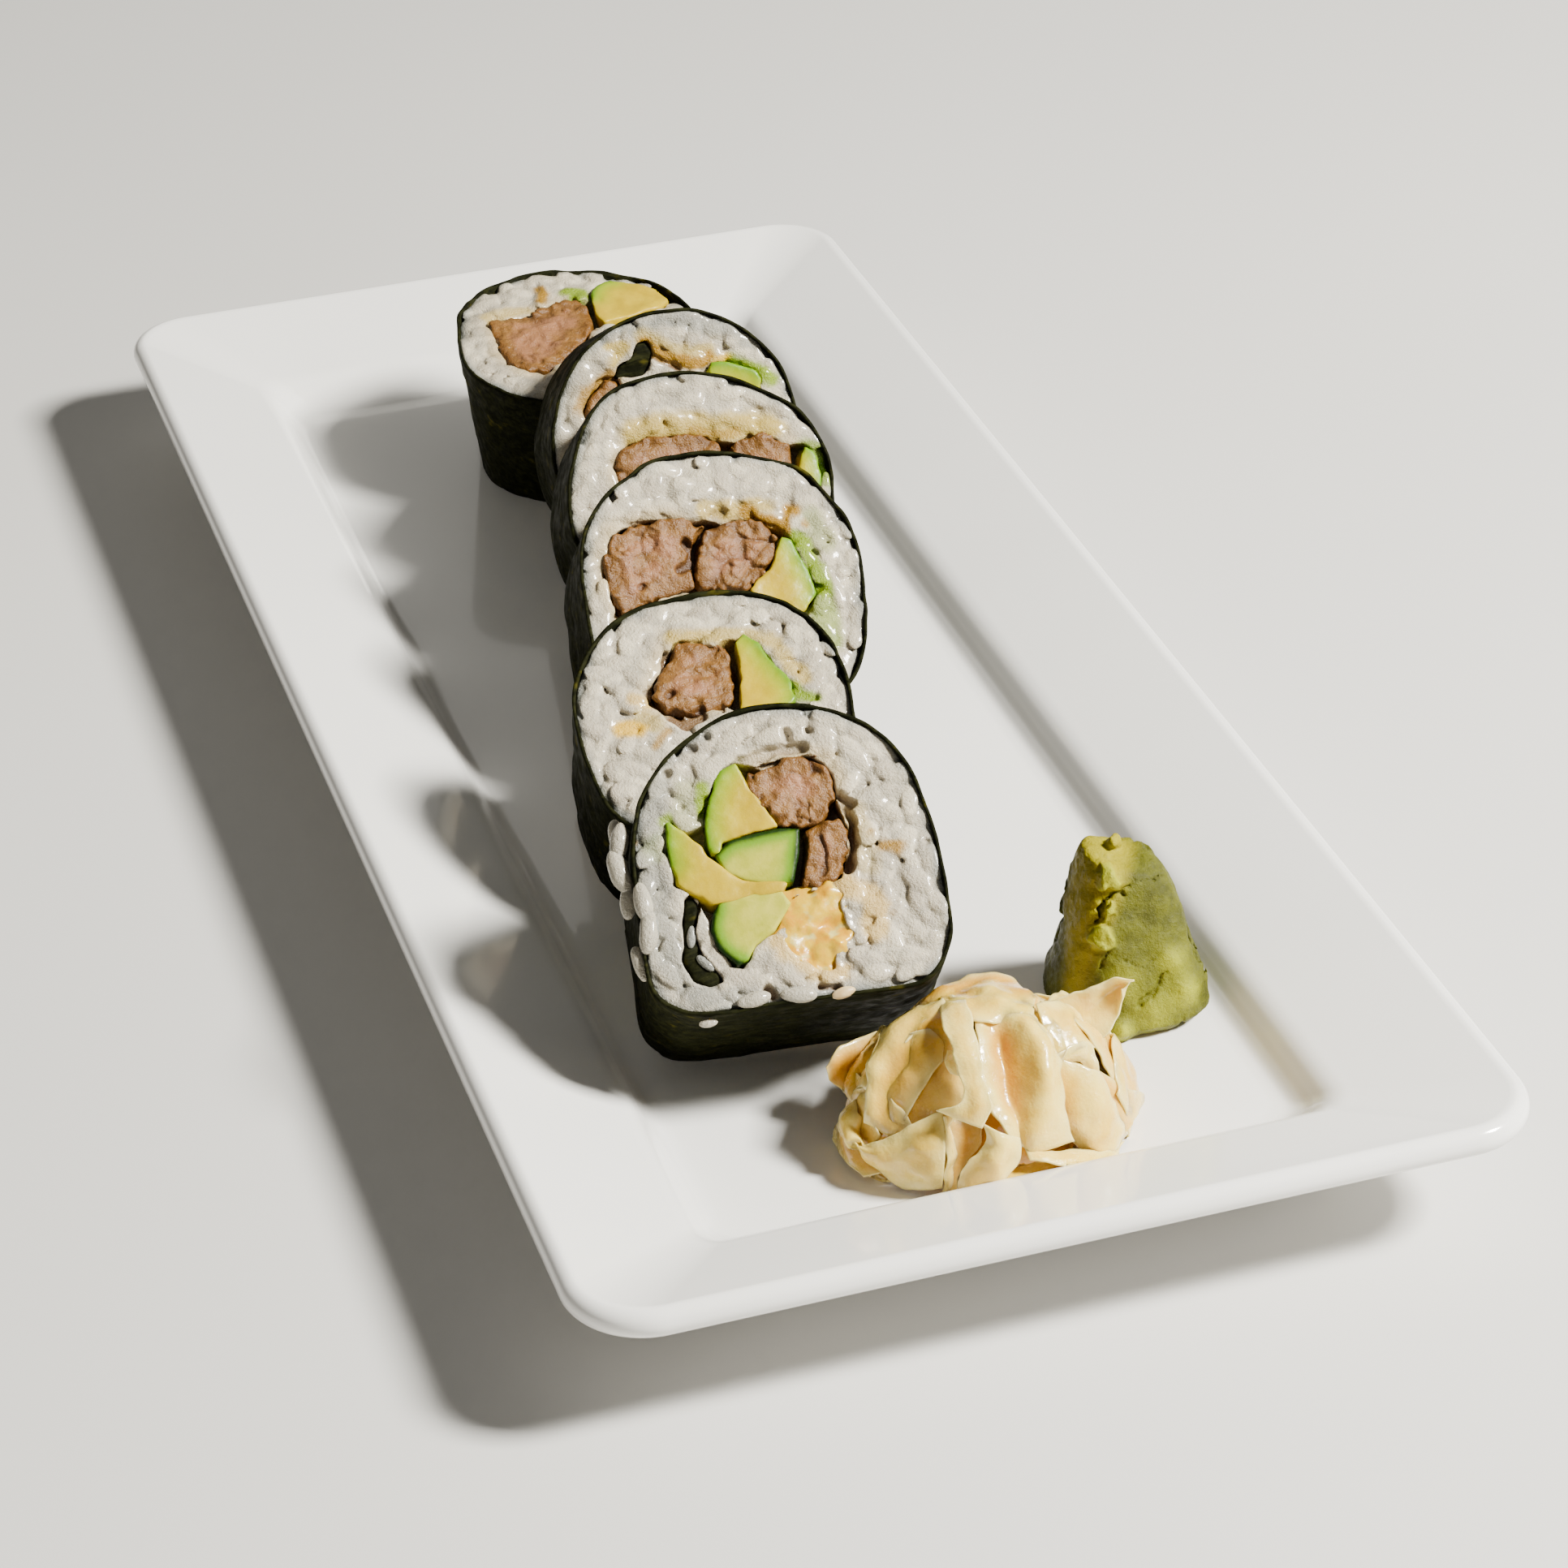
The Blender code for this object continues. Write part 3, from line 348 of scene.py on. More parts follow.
# The slice that stands up, in the same way, but nearer counts from the heap's middle.
GINGER_RAISED = [[(5.9, 8.3, 1.6), (9.5, 9.4, 1.8), (13.6, 10.8, 2.2), (17.0, 12.4, 2.6), (20.3, 12.5, 2.6)],
                 [(7.2, 4.8, 1.6), (10.6, 4.2, 0.9), (14.2, 7.0, 0.3), (17.2, 10.2, 0.6), (19.9, 11.8, 1.8)],
                 [(8.8, 1.6, 2.4), (12.4, 2.3, 2.2), (15.8, 3.4, 1.8), (17.9, 6.6, 1.6), (18.5, 10.8, 2.0)]]
GINGER_THICK = (0.75, 0.3)            # in a slice's middle and at its rim
SHEET_ALONG, SHEET_ACROSS = 44, 15    # points along a slice, and across it from line to line
CORE_SHARE = 0.73                     # size of the core under the slices, as a share of the mound
# The core is given the full amber painted shade of the deepest slices.
CORE_NEARER = -3.0                    # the core is coloured like the deepest parts of the slices
GINGER_FLOOR = 8.15                   # the well's floor, with room for a slice's thickness
WELL_EDGE, WELL_RISE = -137.4, 1.0   # where the floor turns up to the front, and how steeply
BACK_SLICES = ((8, 12.0, 30.0), (6, 40.0, 26.0))    # per tier: how many, lowest rise and width in degrees

# ---------------------------------------------------------------- wasabi
# Height over the plate, middle and half size of the mound, as in the CAD.
WASABI_ROWS = [(0.0, 31.0, -99.6, 10.6, 10.4), (1.6, 31.2, -99.6, 12.0, 11.5), (6.0, 31.4, -99.4, 11.6, 10.8),
               (12.0, 31.2, -98.8, 9.8, 9.2), (18.0, 30.9, -98.2, 7.9, 7.6), (23.0, 31.0, -97.8, 6.3, 6.0),
               (26.6, 31.2, -97.6, 5.2, 4.8)]
WASABI_TOP = (24.6, -0.16, 0.12)      # the slanted top's height, and its rise to the right and to the back
WASABI_KNOB = ((30.4, -96.6, 25.7), 1.3)    # the crumb on the top: middle over the plate, and radius
# Cracks, flaps and bulges as seen from the front: right and up from the mound's middle.
WASABI_CRACKS = [([(-1.9, 4.8), (-3.6, 3.7), (-4.6, 2.6), (-5.0, 0.6)], 0.7, 1.4),
                 ([(-2.1, 4.5), (-1.0, 5.4), (0.9, 6.3), (2.4, 6.6), (4.4, 7.2)], 0.35, 0.6),
                 ([(-3.2, -3.6), (-3.7, -4.6), (-4.7, -6.4)], 0.3, 0.5),
                 ([(-0.8, -4.8), (0.2, -5.6), (1.8, -6.0), (3.0, -5.4)], 0.28, 0.35),
                 ([(1.6, -11.6), (2.5, -10.4), (3.8, -9.6), (4.3, -8.0), (5.6, -6.6)], 0.6, 0.6)]
WASABI_FLAPS = [([(-4.4, 8.9), (-2.8, 9.1), (-0.9, 6.7), (-2.0, 5.1), (-4.6, 5.5)], 1.1),
                ([(-2.6, 3.5), (-4.2, 2.7), (-4.1, 1.0), (-1.8, 1.7)], 0.9),
                ([(-4.3, 0.5), (-2.7, -0.5), (-2.3, -2.6), (-3.7, -4.1), (-5.6, -2.9), (-6.9, -1.8),
                 (-5.6, -1.0)], 1.2)]
WASABI_BULGES = [((6.4, -5.2), 2.2, 0.9), ((8.6, -10.0), 2.4, 1.1), ((4.0, -13.0), 3.0, 0.8),
                 ((-1.0, -15.7), 1.5, 1.3), ((-4.0, -17.2), 2.0, 0.9), ((-0.5, -8.5), 3.0, 0.5)]
WASABI_RIDGE = [(-4.5, 9.0), (-3.0, 5.0), (-4.8, 2.0), (-4.4, -3.0)]    # crumbs lie along it
WASABI_STEP = 0.30
WASABI_SQUARE = 2.9       # 2 is round, seen from above
KEEP_WASABI = 0.8

# ---------------------------------------------------------------- plate
PLATE_HALF_X, PLATE_HALF_Y, PLATE_CORNER = 70.0, 164.0, 12.0
LIP_RADIUS = 2.2
# Distance in from the outer edge, corner radius and height, from under the foot to the lip, and
# from the lip's inner side to the well floor.
UNDER_ROWS = [(33.0, 6.0, 2.6), (32.4, 6.5, 0.2), (32.0, 7.0, 0.0), (29.0, 9.0, 0.0), (28.5, 9.5, 0.5),
              (27.9, 9.5, 2.6), (24.5, 9.0, 5.0), (21.0, 8.5, 8.6), (16.0, 9.0, 10.8)]
UPPER_ROWS = [(8.0, 8.0, 17.97), (14.0, 6.4, 15.86), (19.0, 5.0, 14.1), (21.4, 4.6, 13.2), (22.9, 4.4, 12.2),
              (24.2, 4.6, 10.7), (25.4, 5.0, 9.2), (26.7, 5.4, 8.2), (28.2, 6.0, 7.8), (30.0, 6.0, 7.7)]

# ---------------------------------------------------------------- camera and light
CAMERA_PLACE = (-0.17241, -0.60068, 0.37451)
CAMERA_RIGHT = (0.95161, -0.30604, -0.02804)
CAMERA_DOWN = (-0.18182, -0.48711, -0.85420)
CAMERA_LENS, SENSOR_WIDTH = 100.22, 36.0
# Name, direction seen from the plate, distance in metres, size and power.
LIGHTS = [("key", (0.89, -0.58, 1.0), 1.1, 0.20, 52.0),
          ("fill", (-0.9, -0.5, 0.8), 1.4, 1.4, 1.0),
          ("back", (0.1, 1.0, 0.8), 1.5, 1.2, 2.0)]
LIGHT_TINT = (1.0, 0.975, 0.90)
WORLD_STRENGTH = 0.125


# The same directions serve as right, up and nearer where a shape is given as seen from the front.
FRONT = np.array([CAMERA_RIGHT, [-value for value in CAMERA_DOWN], np.cross(CAMERA_DOWN, CAMERA_RIGHT)])


# ---------------------------------------------------------------- numbers and noise
def hashed(ix, iy, iz, seed):
    """A steady pseudo-random value from -1 to 1 for every whole-number place."""
    mixed = (ix * 73856093) ^ (iy * 19349663) ^ (iz * 83492791) ^ (seed * 2654435761)
    mixed = (mixed ^ (mixed >> 13)) * 1274126177 & 0xFFFFFFFF
    mixed = (mixed ^ (mixed >> 16)) * 2246822519 & 0xFFFFFFFF
    return (mixed ^ (mixed >> 15)) / 2147483648.0 - 1.0


def blended(parts, corner_value):
    """The values at a cell's eight corners, blended by how far into the cell a place is."""
    total = 0.0
    for corner in product((0, 1), repeat=3):
        weight = 1.0
        for part, side in zip(parts, corner):
            weight = weight * (part if side else 1 - part)
        total = total + weight * corner_value(corner)
    return total


def noise(x, y, z, size, seed=0):
    """Smooth noise from -1 to 1 with lumps of about the given size, which may differ by axis."""
    sizes = size if isinstance(size, tuple) else (size,) * 3
    cells, parts = [], []
    for value, one in zip((x, y, z), sizes):
        place = np.asarray(value, float) / one + 0.37 * seed
        cell = np.floor(place)
        part = place - cell
        cells.append(cell.astype(np.int64))
        parts.append(part * part * (3 - 2 * part))
    return blended(parts, lambda corner: hashed(*(cell + side for cell, side in zip(cells, corner)), seed))


def fractal(x, y, z, size, seed=0, octaves=3, gain=0.5):
    """Noise with finer noise on it."""
    total = 0.0
    for octave in range(octaves):
        total = total + noise(x, y, z, size / 2 ** octave, seed + 11 * octave) * gain ** octave
    return total


def cells(x, y, z, size, seed=0):
    """Distances to the nearest and second nearest of points strewn one to a cell."""
    place = [np.asarray(value, float) / size for value in (x, y, z)]
    place = np.broadcast_arrays(*place)
    base = [np.floor(value).astype(np.int64) for value in place]
    first = np.full(place[0].shape, FAR)
    second = first.copy()
    for step in product((-1, 0, 1), repeat=3):
        index = [b + s for b, s in zip(base, step)]
        gap = 0.0
        for axis in range(3):
            seat = index[axis] + 0.5 + 0.45 * hashed(*index, seed + 7 * axis)
            gap = gap + (seat - place[axis]) ** 2
        gap = np.sqrt(gap)
        second = np.minimum(second, np.maximum(first, gap))
        first = np.minimum(first, gap)
    return first * size, second * size


def smooth_max(a, b, reach):
    """The larger of two fields, rounded where they cross."""
    share = np.clip(0.5 + 0.5 * (a - b) / reach, 0, 1)
    return b + (a - b) * share + reach * share * (1 - share)


def smooth_step(value, low, high):
    """0 below low, 1 above high and a smooth rise between them."""
    share = np.clip((value - low) / (high - low), 0, 1)
    return share * share * (3 - 2 * share)


def unit(vectors):
    """The vectors, each at length 1."""
    return vectors / np.maximum(np.linalg.norm(vectors, axis=-1, keepdims=True), 1e-9)


def segment_distance(x, z, start, end):
    """Distance to the straight line between two points."""
    (ax, az), (bx, bz) = start, end
    ex, ez = bx - ax, bz - az
    along = np.clip(((x - ax) * ex + (z - az) * ez) / (ex * ex + ez * ez), 0, 1)
    return np.hypot(x - ax - along * ex, z - az - along * ez)


def polygon_distance(x, z, corners):
    """Signed distance to a closed outline, negative inside."""
    x, z = np.asarray(x, float), np.asarray(z, float)
    best = np.full(x.shape, np.inf)
    inside = np.zeros(x.shape, bool)
    corners = np.asarray(corners)
    for (ax, az), (bx, bz) in zip(corners, np.roll(corners, -1, axis=0)):
        best = np.minimum(best, segment_distance(x, z, (ax, az), (bx, bz)))
        if az != bz:
            inside ^= ((az > z) != (bz > z)) & (x < (bx - ax) * (z - az) / (bz - az) + ax)
    return np.where(inside, -best, best)


def line_distance(x, z, points):
    """Distance to an open line of points, or to a single point."""
    if len(points) == 1:
        return np.hypot(x - points[0][0], z - points[0][1])
    best = np.full(np.shape(x), np.inf)
    for start, end in zip(points[:-1], points[1:]):
        best = np.minimum(best, segment_distance(x, z, start, end))
    return best


def smooth_line(points, count, closed=False):
    """Points read evenly from a smooth curve through the given ones."""
    points = np.asarray(points, float)
    if closed:
        padded = np.vstack([points[-1:], points, points[:2]])
        spans = len(points)
    else:
        padded = np.vstack([2 * points[0] - points[1], points, 2 * points[-1] - points[-2]])
        spans = len(points) - 1
    place = np.linspace(0, spans, count, endpoint=not closed)
    index = np.minimum(place.astype(int), spans - 1)
    part = (place - index)[:, None]
    a, b, c, d = (padded[index + k] for k in range(4))
    curve = c - a + part * (2 * a - 5 * b + 4 * c - d + part * (3 * (b - c) + d - a))
    return b + 0.5 * part * curve


# ---------------------------------------------------------------- meshes
def ticks(low, high, step):
    """Evenly spaced places from low to high."""
    return np.arange(low, high + step, step)


def surface(field, axes):
    """Closed surface where a field on a grid crosses zero: a vertex in each crossed cell."""
    shape = np.array(field.shape) - 1
    total = np.zeros((*shape, 3))
    count = np.zeros(shape, int)
    inside = field < 0
    crossings = []
    for axis in range(3):
        low = tuple(slice(None, -1) if k == axis else slice(None) for k in range(3))
        high = tuple(slice(1, None) if k == axis else slice(None) for k in range(3))
        crossed = inside[low] != inside[high]
        index = np.argwhere(crossed)
        a, b = field[low][crossed], field[high][crossed]
        place = np.stack([axes[k][index[:, k]] for k in range(3)], axis=1)
        near, far = axes[axis][index[:, axis]], axes[axis][index[:, axis] + 1]
        place[:, axis] = near + (far - near) * a / (a - b)
        around = []
        for one, other in ((0, 0), (-1, 0), (-1, -1), (0, -1)):
            cell = index.copy()
            cell[:, (axis + 1) % 3] += one
            cell[:, (axis + 2) % 3] += other
            np.add.at(total, tuple(cell.T), place)
            np.add.at(count, tuple(cell.T), 1)
            around.append(cell)
        crossings.append((around, inside[low][crossed]))
    number = np.full(shape, -1)
    used = count > 0
    number[used] = np.arange(used.sum())
    points = total[used] / count[used][:, None]
    faces = []
    for around, outward in crossings:
        quads = np.stack([number[tuple(cell.T)] for cell in around], axis=1)
        quads[~outward] = quads[~outward][:, ::-1]
        faces.append(quads)
    return points, np.vstack(faces)


def padded(field, outside=1.0):
    """The field with a shell of outside values, so that its surface closes."""
    field = field.copy()
    for axis in range(3):
        ends = [slice(None)] * 3
        for end in (0, -1):
            ends[axis] = end
            field[tuple(ends)] = outside
    return field


def make_mesh(name, points, faces):
    mesh = bpy.data.meshes.new(name)
    mesh.from_pydata(points.tolist(), [], faces.tolist())
    mesh.update()
    return mesh


def slimmed(mesh, keep):
    """The mesh with fewer faces where it is flat."""
    holder = bpy.data.objects.new("slimming", mesh)
    bpy.context.scene.collection.objects.link(holder)
    modifier = holder.modifiers.new("slim", "DECIMATE")
    modifier.ratio = keep
    evaluated = holder.evaluated_get(bpy.context.evaluated_depsgraph_get())
    result = bpy.data.meshes.new_from_object(evaluated)
    result.name = mesh.name
    bpy.data.objects.remove(holder, do_unlink=True)
    bpy.data.meshes.remove(mesh)
    return result


def read_points(mesh):
    points = np.empty(len(mesh.vertices) * 3, np.float32)
    mesh.vertices.foreach_get("co", points)
    return points.reshape(-1, 3).astype(float)


def write_points(mesh, points):
    mesh.vertices.foreach_set("co", np.asarray(points, np.float32).ravel())
    mesh.update()


def paint(mesh, name, values):
    """A value at every vertex, which the materials read by name."""
    layer = mesh.attributes.new(name, "FLOAT", "POINT")
    layer.data.foreach_set("value", np.asarray(values, np.float32))


def add_piece(name, mesh, material, slot, *nodes):
    """Puts a finished mesh into the scene in place of CAD nodes."""
    piece = bpy.data.objects.new(name, mesh)
    bpy.context.scene.collection.objects.link(piece)
    mesh.materials.clear()
    mesh.materials.append(material)
    mesh.shade_smooth()
    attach(piece, BODY)
    if nodes:
        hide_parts(*nodes)
    return piece


def grid_faces(rows, columns, closed_rows=False, closed_columns=False):
    """Quads between rows of points that follow each other."""
    faces = []
    for row in range(rows if closed_rows else rows - 1):
        ahead = (row + 1) % rows
        for column in range(columns if closed_columns else columns - 1):
            beside = (column + 1) % columns
            faces.append((row * columns + column, row * columns + beside,
                          ahead * columns + beside, ahead * columns + column))
    return faces


# ---------------------------------------------------------------- materials
class Look:
    """A material's nodes, with short ways to add the usual ones."""

    def __init__(self, name, **sockets):
        self.material = bpy.data.materials.new(name)
        self.material.use_nodes = True
        self.nodes = self.material.node_tree.nodes
        self.links = self.material.node_tree.links
        self.shader = self.nodes["Principled BSDF"]
        for socket, value in sockets.items():
            self.shader.inputs[socket.replace("_", " ")].default_value = value
        self.place = self.nodes.new("ShaderNodeTexCoord").outputs["Object"]

    def feed(self, socket, value):
        if hasattr(value, "is_linked"):
            self.links.new(value, socket)
        elif socket.type == "RGBA":
            socket.default_value = (*value, 1.0)
        else:
            socket.default_value = value

    def attribute(self, name):
        node = self.nodes.new("ShaderNodeAttribute")
        node.attribute_name = name
        return node.outputs["Fac"]

    def noise(self, size, detail=3.0, rough=0.55, stretch=(1, 1, 1), warp=0.0):
        """Noise whose lumps measure size millimetres, stretched along some axes."""
        mapping = self.nodes.new("ShaderNodeMapping")
        self.links.new(self.place, mapping.inputs["Vector"])
        mapping.inputs["Scale"].default_value = [1 / (size * MM * k) for k in stretch]
        node = self.nodes.new("ShaderNodeTexNoise")
        self.links.new(mapping.outputs[0], node.inputs["Vector"])
        node.inputs["Scale"].default_value = 1.0
        node.inputs["Detail"].default_value = detail
        node.inputs["Roughness"].default_value = rough
        node.inputs["Distortion"].default_value = warp
        return node.outputs["Fac"]

    def span(self, value, low, high, start=0.0, end=1.0):
        """The value's run from low to high, spread from start to end."""
        node = self.nodes.new("ShaderNodeMapRange")
        node.interpolation_type = "SMOOTHSTEP"
        self.feed(node.inputs["Value"], value)
        for name, number in (("From Min", low), ("From Max", high), ("To Min", start), ("To Max", end)):
            node.inputs[name].default_value = number
        return node.outputs["Result"]

    def math(self, operation, a, b):
        node = self.nodes.new("ShaderNodeMath")
        node.operation = operation
        self.feed(node.inputs[0], a)
        self.feed(node.inputs[1], b)
        return node.outputs[0]

    def mix(self, share, a, b):
        node = self.nodes.new("ShaderNodeMix")
        node.data_type = "RGBA"
        colours = [socket for socket in node.inputs if socket.type == "RGBA"]
        self.feed(node.inputs[0], share)
        self.feed(colours[0], a)
        self.feed(colours[1], b)
        return next(socket for socket in node.outputs if socket.type == "RGBA")

    def mottled(self, size, first, second, detail=2.0, rough=0.55, low=0.3, high=0.7):
        """Two colours that change over in noise of the given size."""
        return self.mix(self.span(self.noise(size, detail, rough), low, high), first, second)

    def tinted(self, colour, name, tint, share=1.0):
        """The colour, tinted towards another where a painted value is high: for stains, and also for painted
        shade and light.
        """
        value = self.attribute(name)
        if share < 1.0:
            value = self.math("MULTIPLY", value, share)
        return self.mix(value, colour, tint)

    def roughness(self, size, low, high, detail=2.0):
        """Roughness from low to high in noise of the given size."""
        return self.span(self.noise(size, detail), 0.3, 0.7, low, high)

    def bump(self, height, depth, strength=1.0, under=None):
        """Relief of the given depth in millimetres."""
        node = self.nodes.new("ShaderNodeBump")
        node.inputs["Strength"].default_value = strength
        node.inputs["Distance"].default_value = depth * MM
        self.links.new(height, node.inputs["Height"])
        if under:
            self.links.new(under, node.inputs["Normal"])
        return node.outputs["Normal"]

    def finish(self, colour, rough=None, normal=None):
        self.feed(self.shader.inputs["Base Color"], colour)
        if rough is not None:
            self.feed(self.shader.inputs["Roughness"], rough)
        if normal is not None:
            self.feed(self.shader.inputs["Normal"], normal)
        return self.material


def soft(look, weight, scale, radius=(1.0, 0.8, 0.6)):
    """Light that enters the surface and comes out nearby, scale in millimetres."""
    look.shader.inputs["Subsurface Weight"].default_value = weight
    look.shader.inputs["Subsurface Radius"].default_value = radius
    look.shader.inputs["Subsurface Scale"].default_value = scale * MM


def glaze_look():
    look = Look("glaze", Coat_Weight=0.3, Coat_Roughness=0.04)
    colour = look.mottled(60.0, (0.83, 0.82, 0.79), (0.86, 0.85, 0.82), low=0.35, high=0.65)
    normal = look.bump(look.noise(14.0, 1.0), 0.05, 0.5)
    return look.finish(colour, look.roughness(25.0, 0.10, 0.17), normal)


def nori_look():
    look = Look("nori", IOR=1.4, Specular_IOR_Level=0.03)
    fibre = look.noise(1.1, 4.0, 0.65, stretch=(4.0, 1.0, 1.0), warp=0.6)
    colour = look.mix(look.span(fibre, 0.35, 0.75), (0.0045, 0.005, 0.002), (0.018, 0.019, 0.006))
    fleck = look.span(look.noise(3.2, 3.0, 0.6, stretch=(2.0, 1.0, 1.0)), 0.60, 0.74)
    colour = look.mix(fleck, colour, (0.050, 0.044, 0.005))
    normal = look.bump(fibre, 0.10, 0.8)
    normal = look.bump(look.noise(2.0, 3.0, 0.6), 0.25, 0.8, under=normal)
    return look.finish(colour, look.roughness(2.4, 0.50, 0.85, detail=3.0), normal)


def rice_look():
    look = Look("rice", IOR=1.40, Coat_Weight=0.45, Coat_Roughness=0.12)
    soft(look, 0.30, 0.9, (1.0, 0.9, 0.75))
    tone = look.math("ADD", look.math("MULTIPLY", look.attribute("tone"), 0.7),
                     look.math("MULTIPLY", look.span(look.noise(2.5, 2.0), 0.3, 0.7), 0.3))
    colour = look.mix(tone, (0.38, 0.33, 0.25), (0.62, 0.55, 0.405))
    for name, share, tint in RICE_STAINS_AND_SHADE:
        colour = look.tinted(colour, name, tint, share)
    normal = look.bump(look.noise(0.42, 3.0, 0.65), 0.34)
    return look.finish(colour, look.roughness(0.5, 0.25, 0.5), normal)


def seed_look():
    look = Look("seed", IOR=1.42)
    soft(look, 0.2, 0.6)
    colour = look.mottled(1.5, (0.50, 0.34, 0.15), (0.62, 0.47, 0.25))
    return look.finish(colour, 0.4, look.bump(look.noise(0.4, 2.0), 0.05, 0.7))


def tuna_look():
    look = Look("tuna", IOR=1.42)
    soft(look, 0.12, 0.8, (1.0, 0.5, 0.3))
    colour = look.mottled(1.4, (0.13, 0.056, 0.010), (0.225, 0.105, 0.023), detail=4.0, rough=0.6)
    pink = look.math("MULTIPLY", look.span(look.attribute("edge"), 1.2, 3.6),
                     look.span(look.noise(4.5, 2.0), 0.32, 0.60))
    colour = look.mix(pink, colour, (0.26, 0.115, 0.050))
    # darker towards the outline
    outline_dark = look.span(look.attribute("edge"), -0.2, 1.8, 0.9, 0.0)
    colour = look.mix(outline_dark, colour, (0.13, 0.052, 0.006))
    # painted shade: dark in the creases between flakes and in the hollows
    colour = look.tinted(colour, "crack", (0.045, 0.016, 0.004))
    normal = look.bump(look.noise(0.6, 3.0, 0.7), 0.30)
    return look.finish(colour, look.roughness(0.6, 0.30, 0.55, detail=3.0), normal)


def avocado_look():
    look = Look("avocado", IOR=1.42, Specular_IOR_Level=0.3)
    soft(look, 0.3, 1.2, (1.0, 0.95, 0.2))
    colour = look.mottled(4.0, (0.39, 0.265, 0.002), (0.47, 0.335, 0.005))
    colour = look.mix(look.span(look.attribute("skin"), 0.05, 0.6), colour, (0.27, 0.32, 0.003))
    colour = look.mix(look.span(look.attribute("skin"), 0.5, 1.0), colour, (0.10, 0.22, 0.001))
    normal = look.bump(look.noise(0.7, 3.0, 0.6), 0.06, 0.8)
    return look.finish(colour, look.roughness(0.8, 0.30, 0.5), normal)


def cucumber_look():
    look = Look("cucumber", IOR=1.40, Specular_IOR_Level=0.2)
    soft(look, 0.3, 1.5, (0.9, 1.0, 0.5))
    colour = look.mottled(2.5, (0.33, 0.335, 0.018), (0.45, 0.425, 0.045), detail=3.0)
    colour = look.mix(look.span(look.attribute("skin"), 0.05, 0.5), colour, (0.13, 0.26, 0.006))
    colour = look.mix(look.span(look.attribute("skin"), 0.45, 0.85), colour, (0.006, 0.022, 0.001))
    normal = look.bump(look.noise(0.45, 2.0), 0.05, 0.7)
    return look.finish(colour, look.roughness(0.6, 0.35, 0.60), normal)


def egg_look():
    look = Look("egg_mayo", IOR=1.42, Coat_Weight=0.15, Coat_Roughness=0.10)
    soft(look, 0.3, 1.2, (1.0, 0.8, 0.4))
    tone = look.span(look.noise(3.0, 3.0, warp=0.8), 0.35, 0.62)
    colour = look.mix(tone, (0.62, 0.29, 0.002), (0.64, 0.41, 0.012))
    colour = look.mix(look.span(look.noise(2.2, 2.0), 0.56, 0.74), colour, (0.58, 0.48, 0.14))
    normal = look.bump(look.noise(0.5, 2.0), 0.06, 0.7)
    return look.finish(colour, look.roughness(0.8, 0.18, 0.40), normal)


def ginger_look():
    look = Look("ginger", IOR=1.42, Coat_Weight=0.6, Coat_Roughness=0.08)
    soft(look, 0.5, 1.4, (1.0, 0.92, 0.60))
    colour = look.mottled(5.0, (0.76, 0.49, 0.045), (0.85, 0.61, 0.12), 3.0, low=0.35, high=0.65)
    # painted shade: deeper parts of the heap turn amber, as in its hollows
    colour = look.tinted(colour, "amber_shade", (0.64, 0.30, 0.003))
    colour = look.tinted(colour, "rim", (0.90, 0.73, 0.29), 0.7)
    normal = look.bump(look.noise(0.9, 3.0, stretch=(1.0, 1.0, 4.0)), 0.10, 0.8)
    normal = look.bump(look.noise(0.5, 2.0), 0.10, 0.8, under=normal)
    return look.finish(colour, look.roughness(1.2, 0.15, 0.38), normal)


def wasabi_look():
    look = Look("wasabi", IOR=1.42, Specular_IOR_Level=0.3)
    soft(look, 0.12, 0.8, (0.9, 1.0, 0.4))
    colour = look.mottled(3.0, (0.048, 0.051, 0.0009), (0.094, 0.099, 0.0022), detail=4.0, rough=0.6)
    # painted light: the upper left of the front is painted a lighter yellow olive
    colour = look.tinted(colour, "cheek_painted_light", (0.28, 0.24, 0.001))
    # painted light: raised flaps and bulges on the front painted lighter
    colour = look.tinted(colour, "flap_painted_light", (0.33, 0.345, 0.012), 0.8)
    pores = look.span(look.noise(0.7, 2.0), 0.62, 0.72)
    colour = look.mix(look.math("MULTIPLY", pores, 0.5), colour, (0.09, 0.095, 0.005))
    # painted shade: dark in the cracks
    colour = look.tinted(colour, "crack", (0.055, 0.055, 0.003))
    normal = look.bump(look.noise(0.9, 4.0, 0.75), 0.40)
    return look.finish(colour, look.roughness(0.8, 0.42, 0.75, detail=3.0), normal)


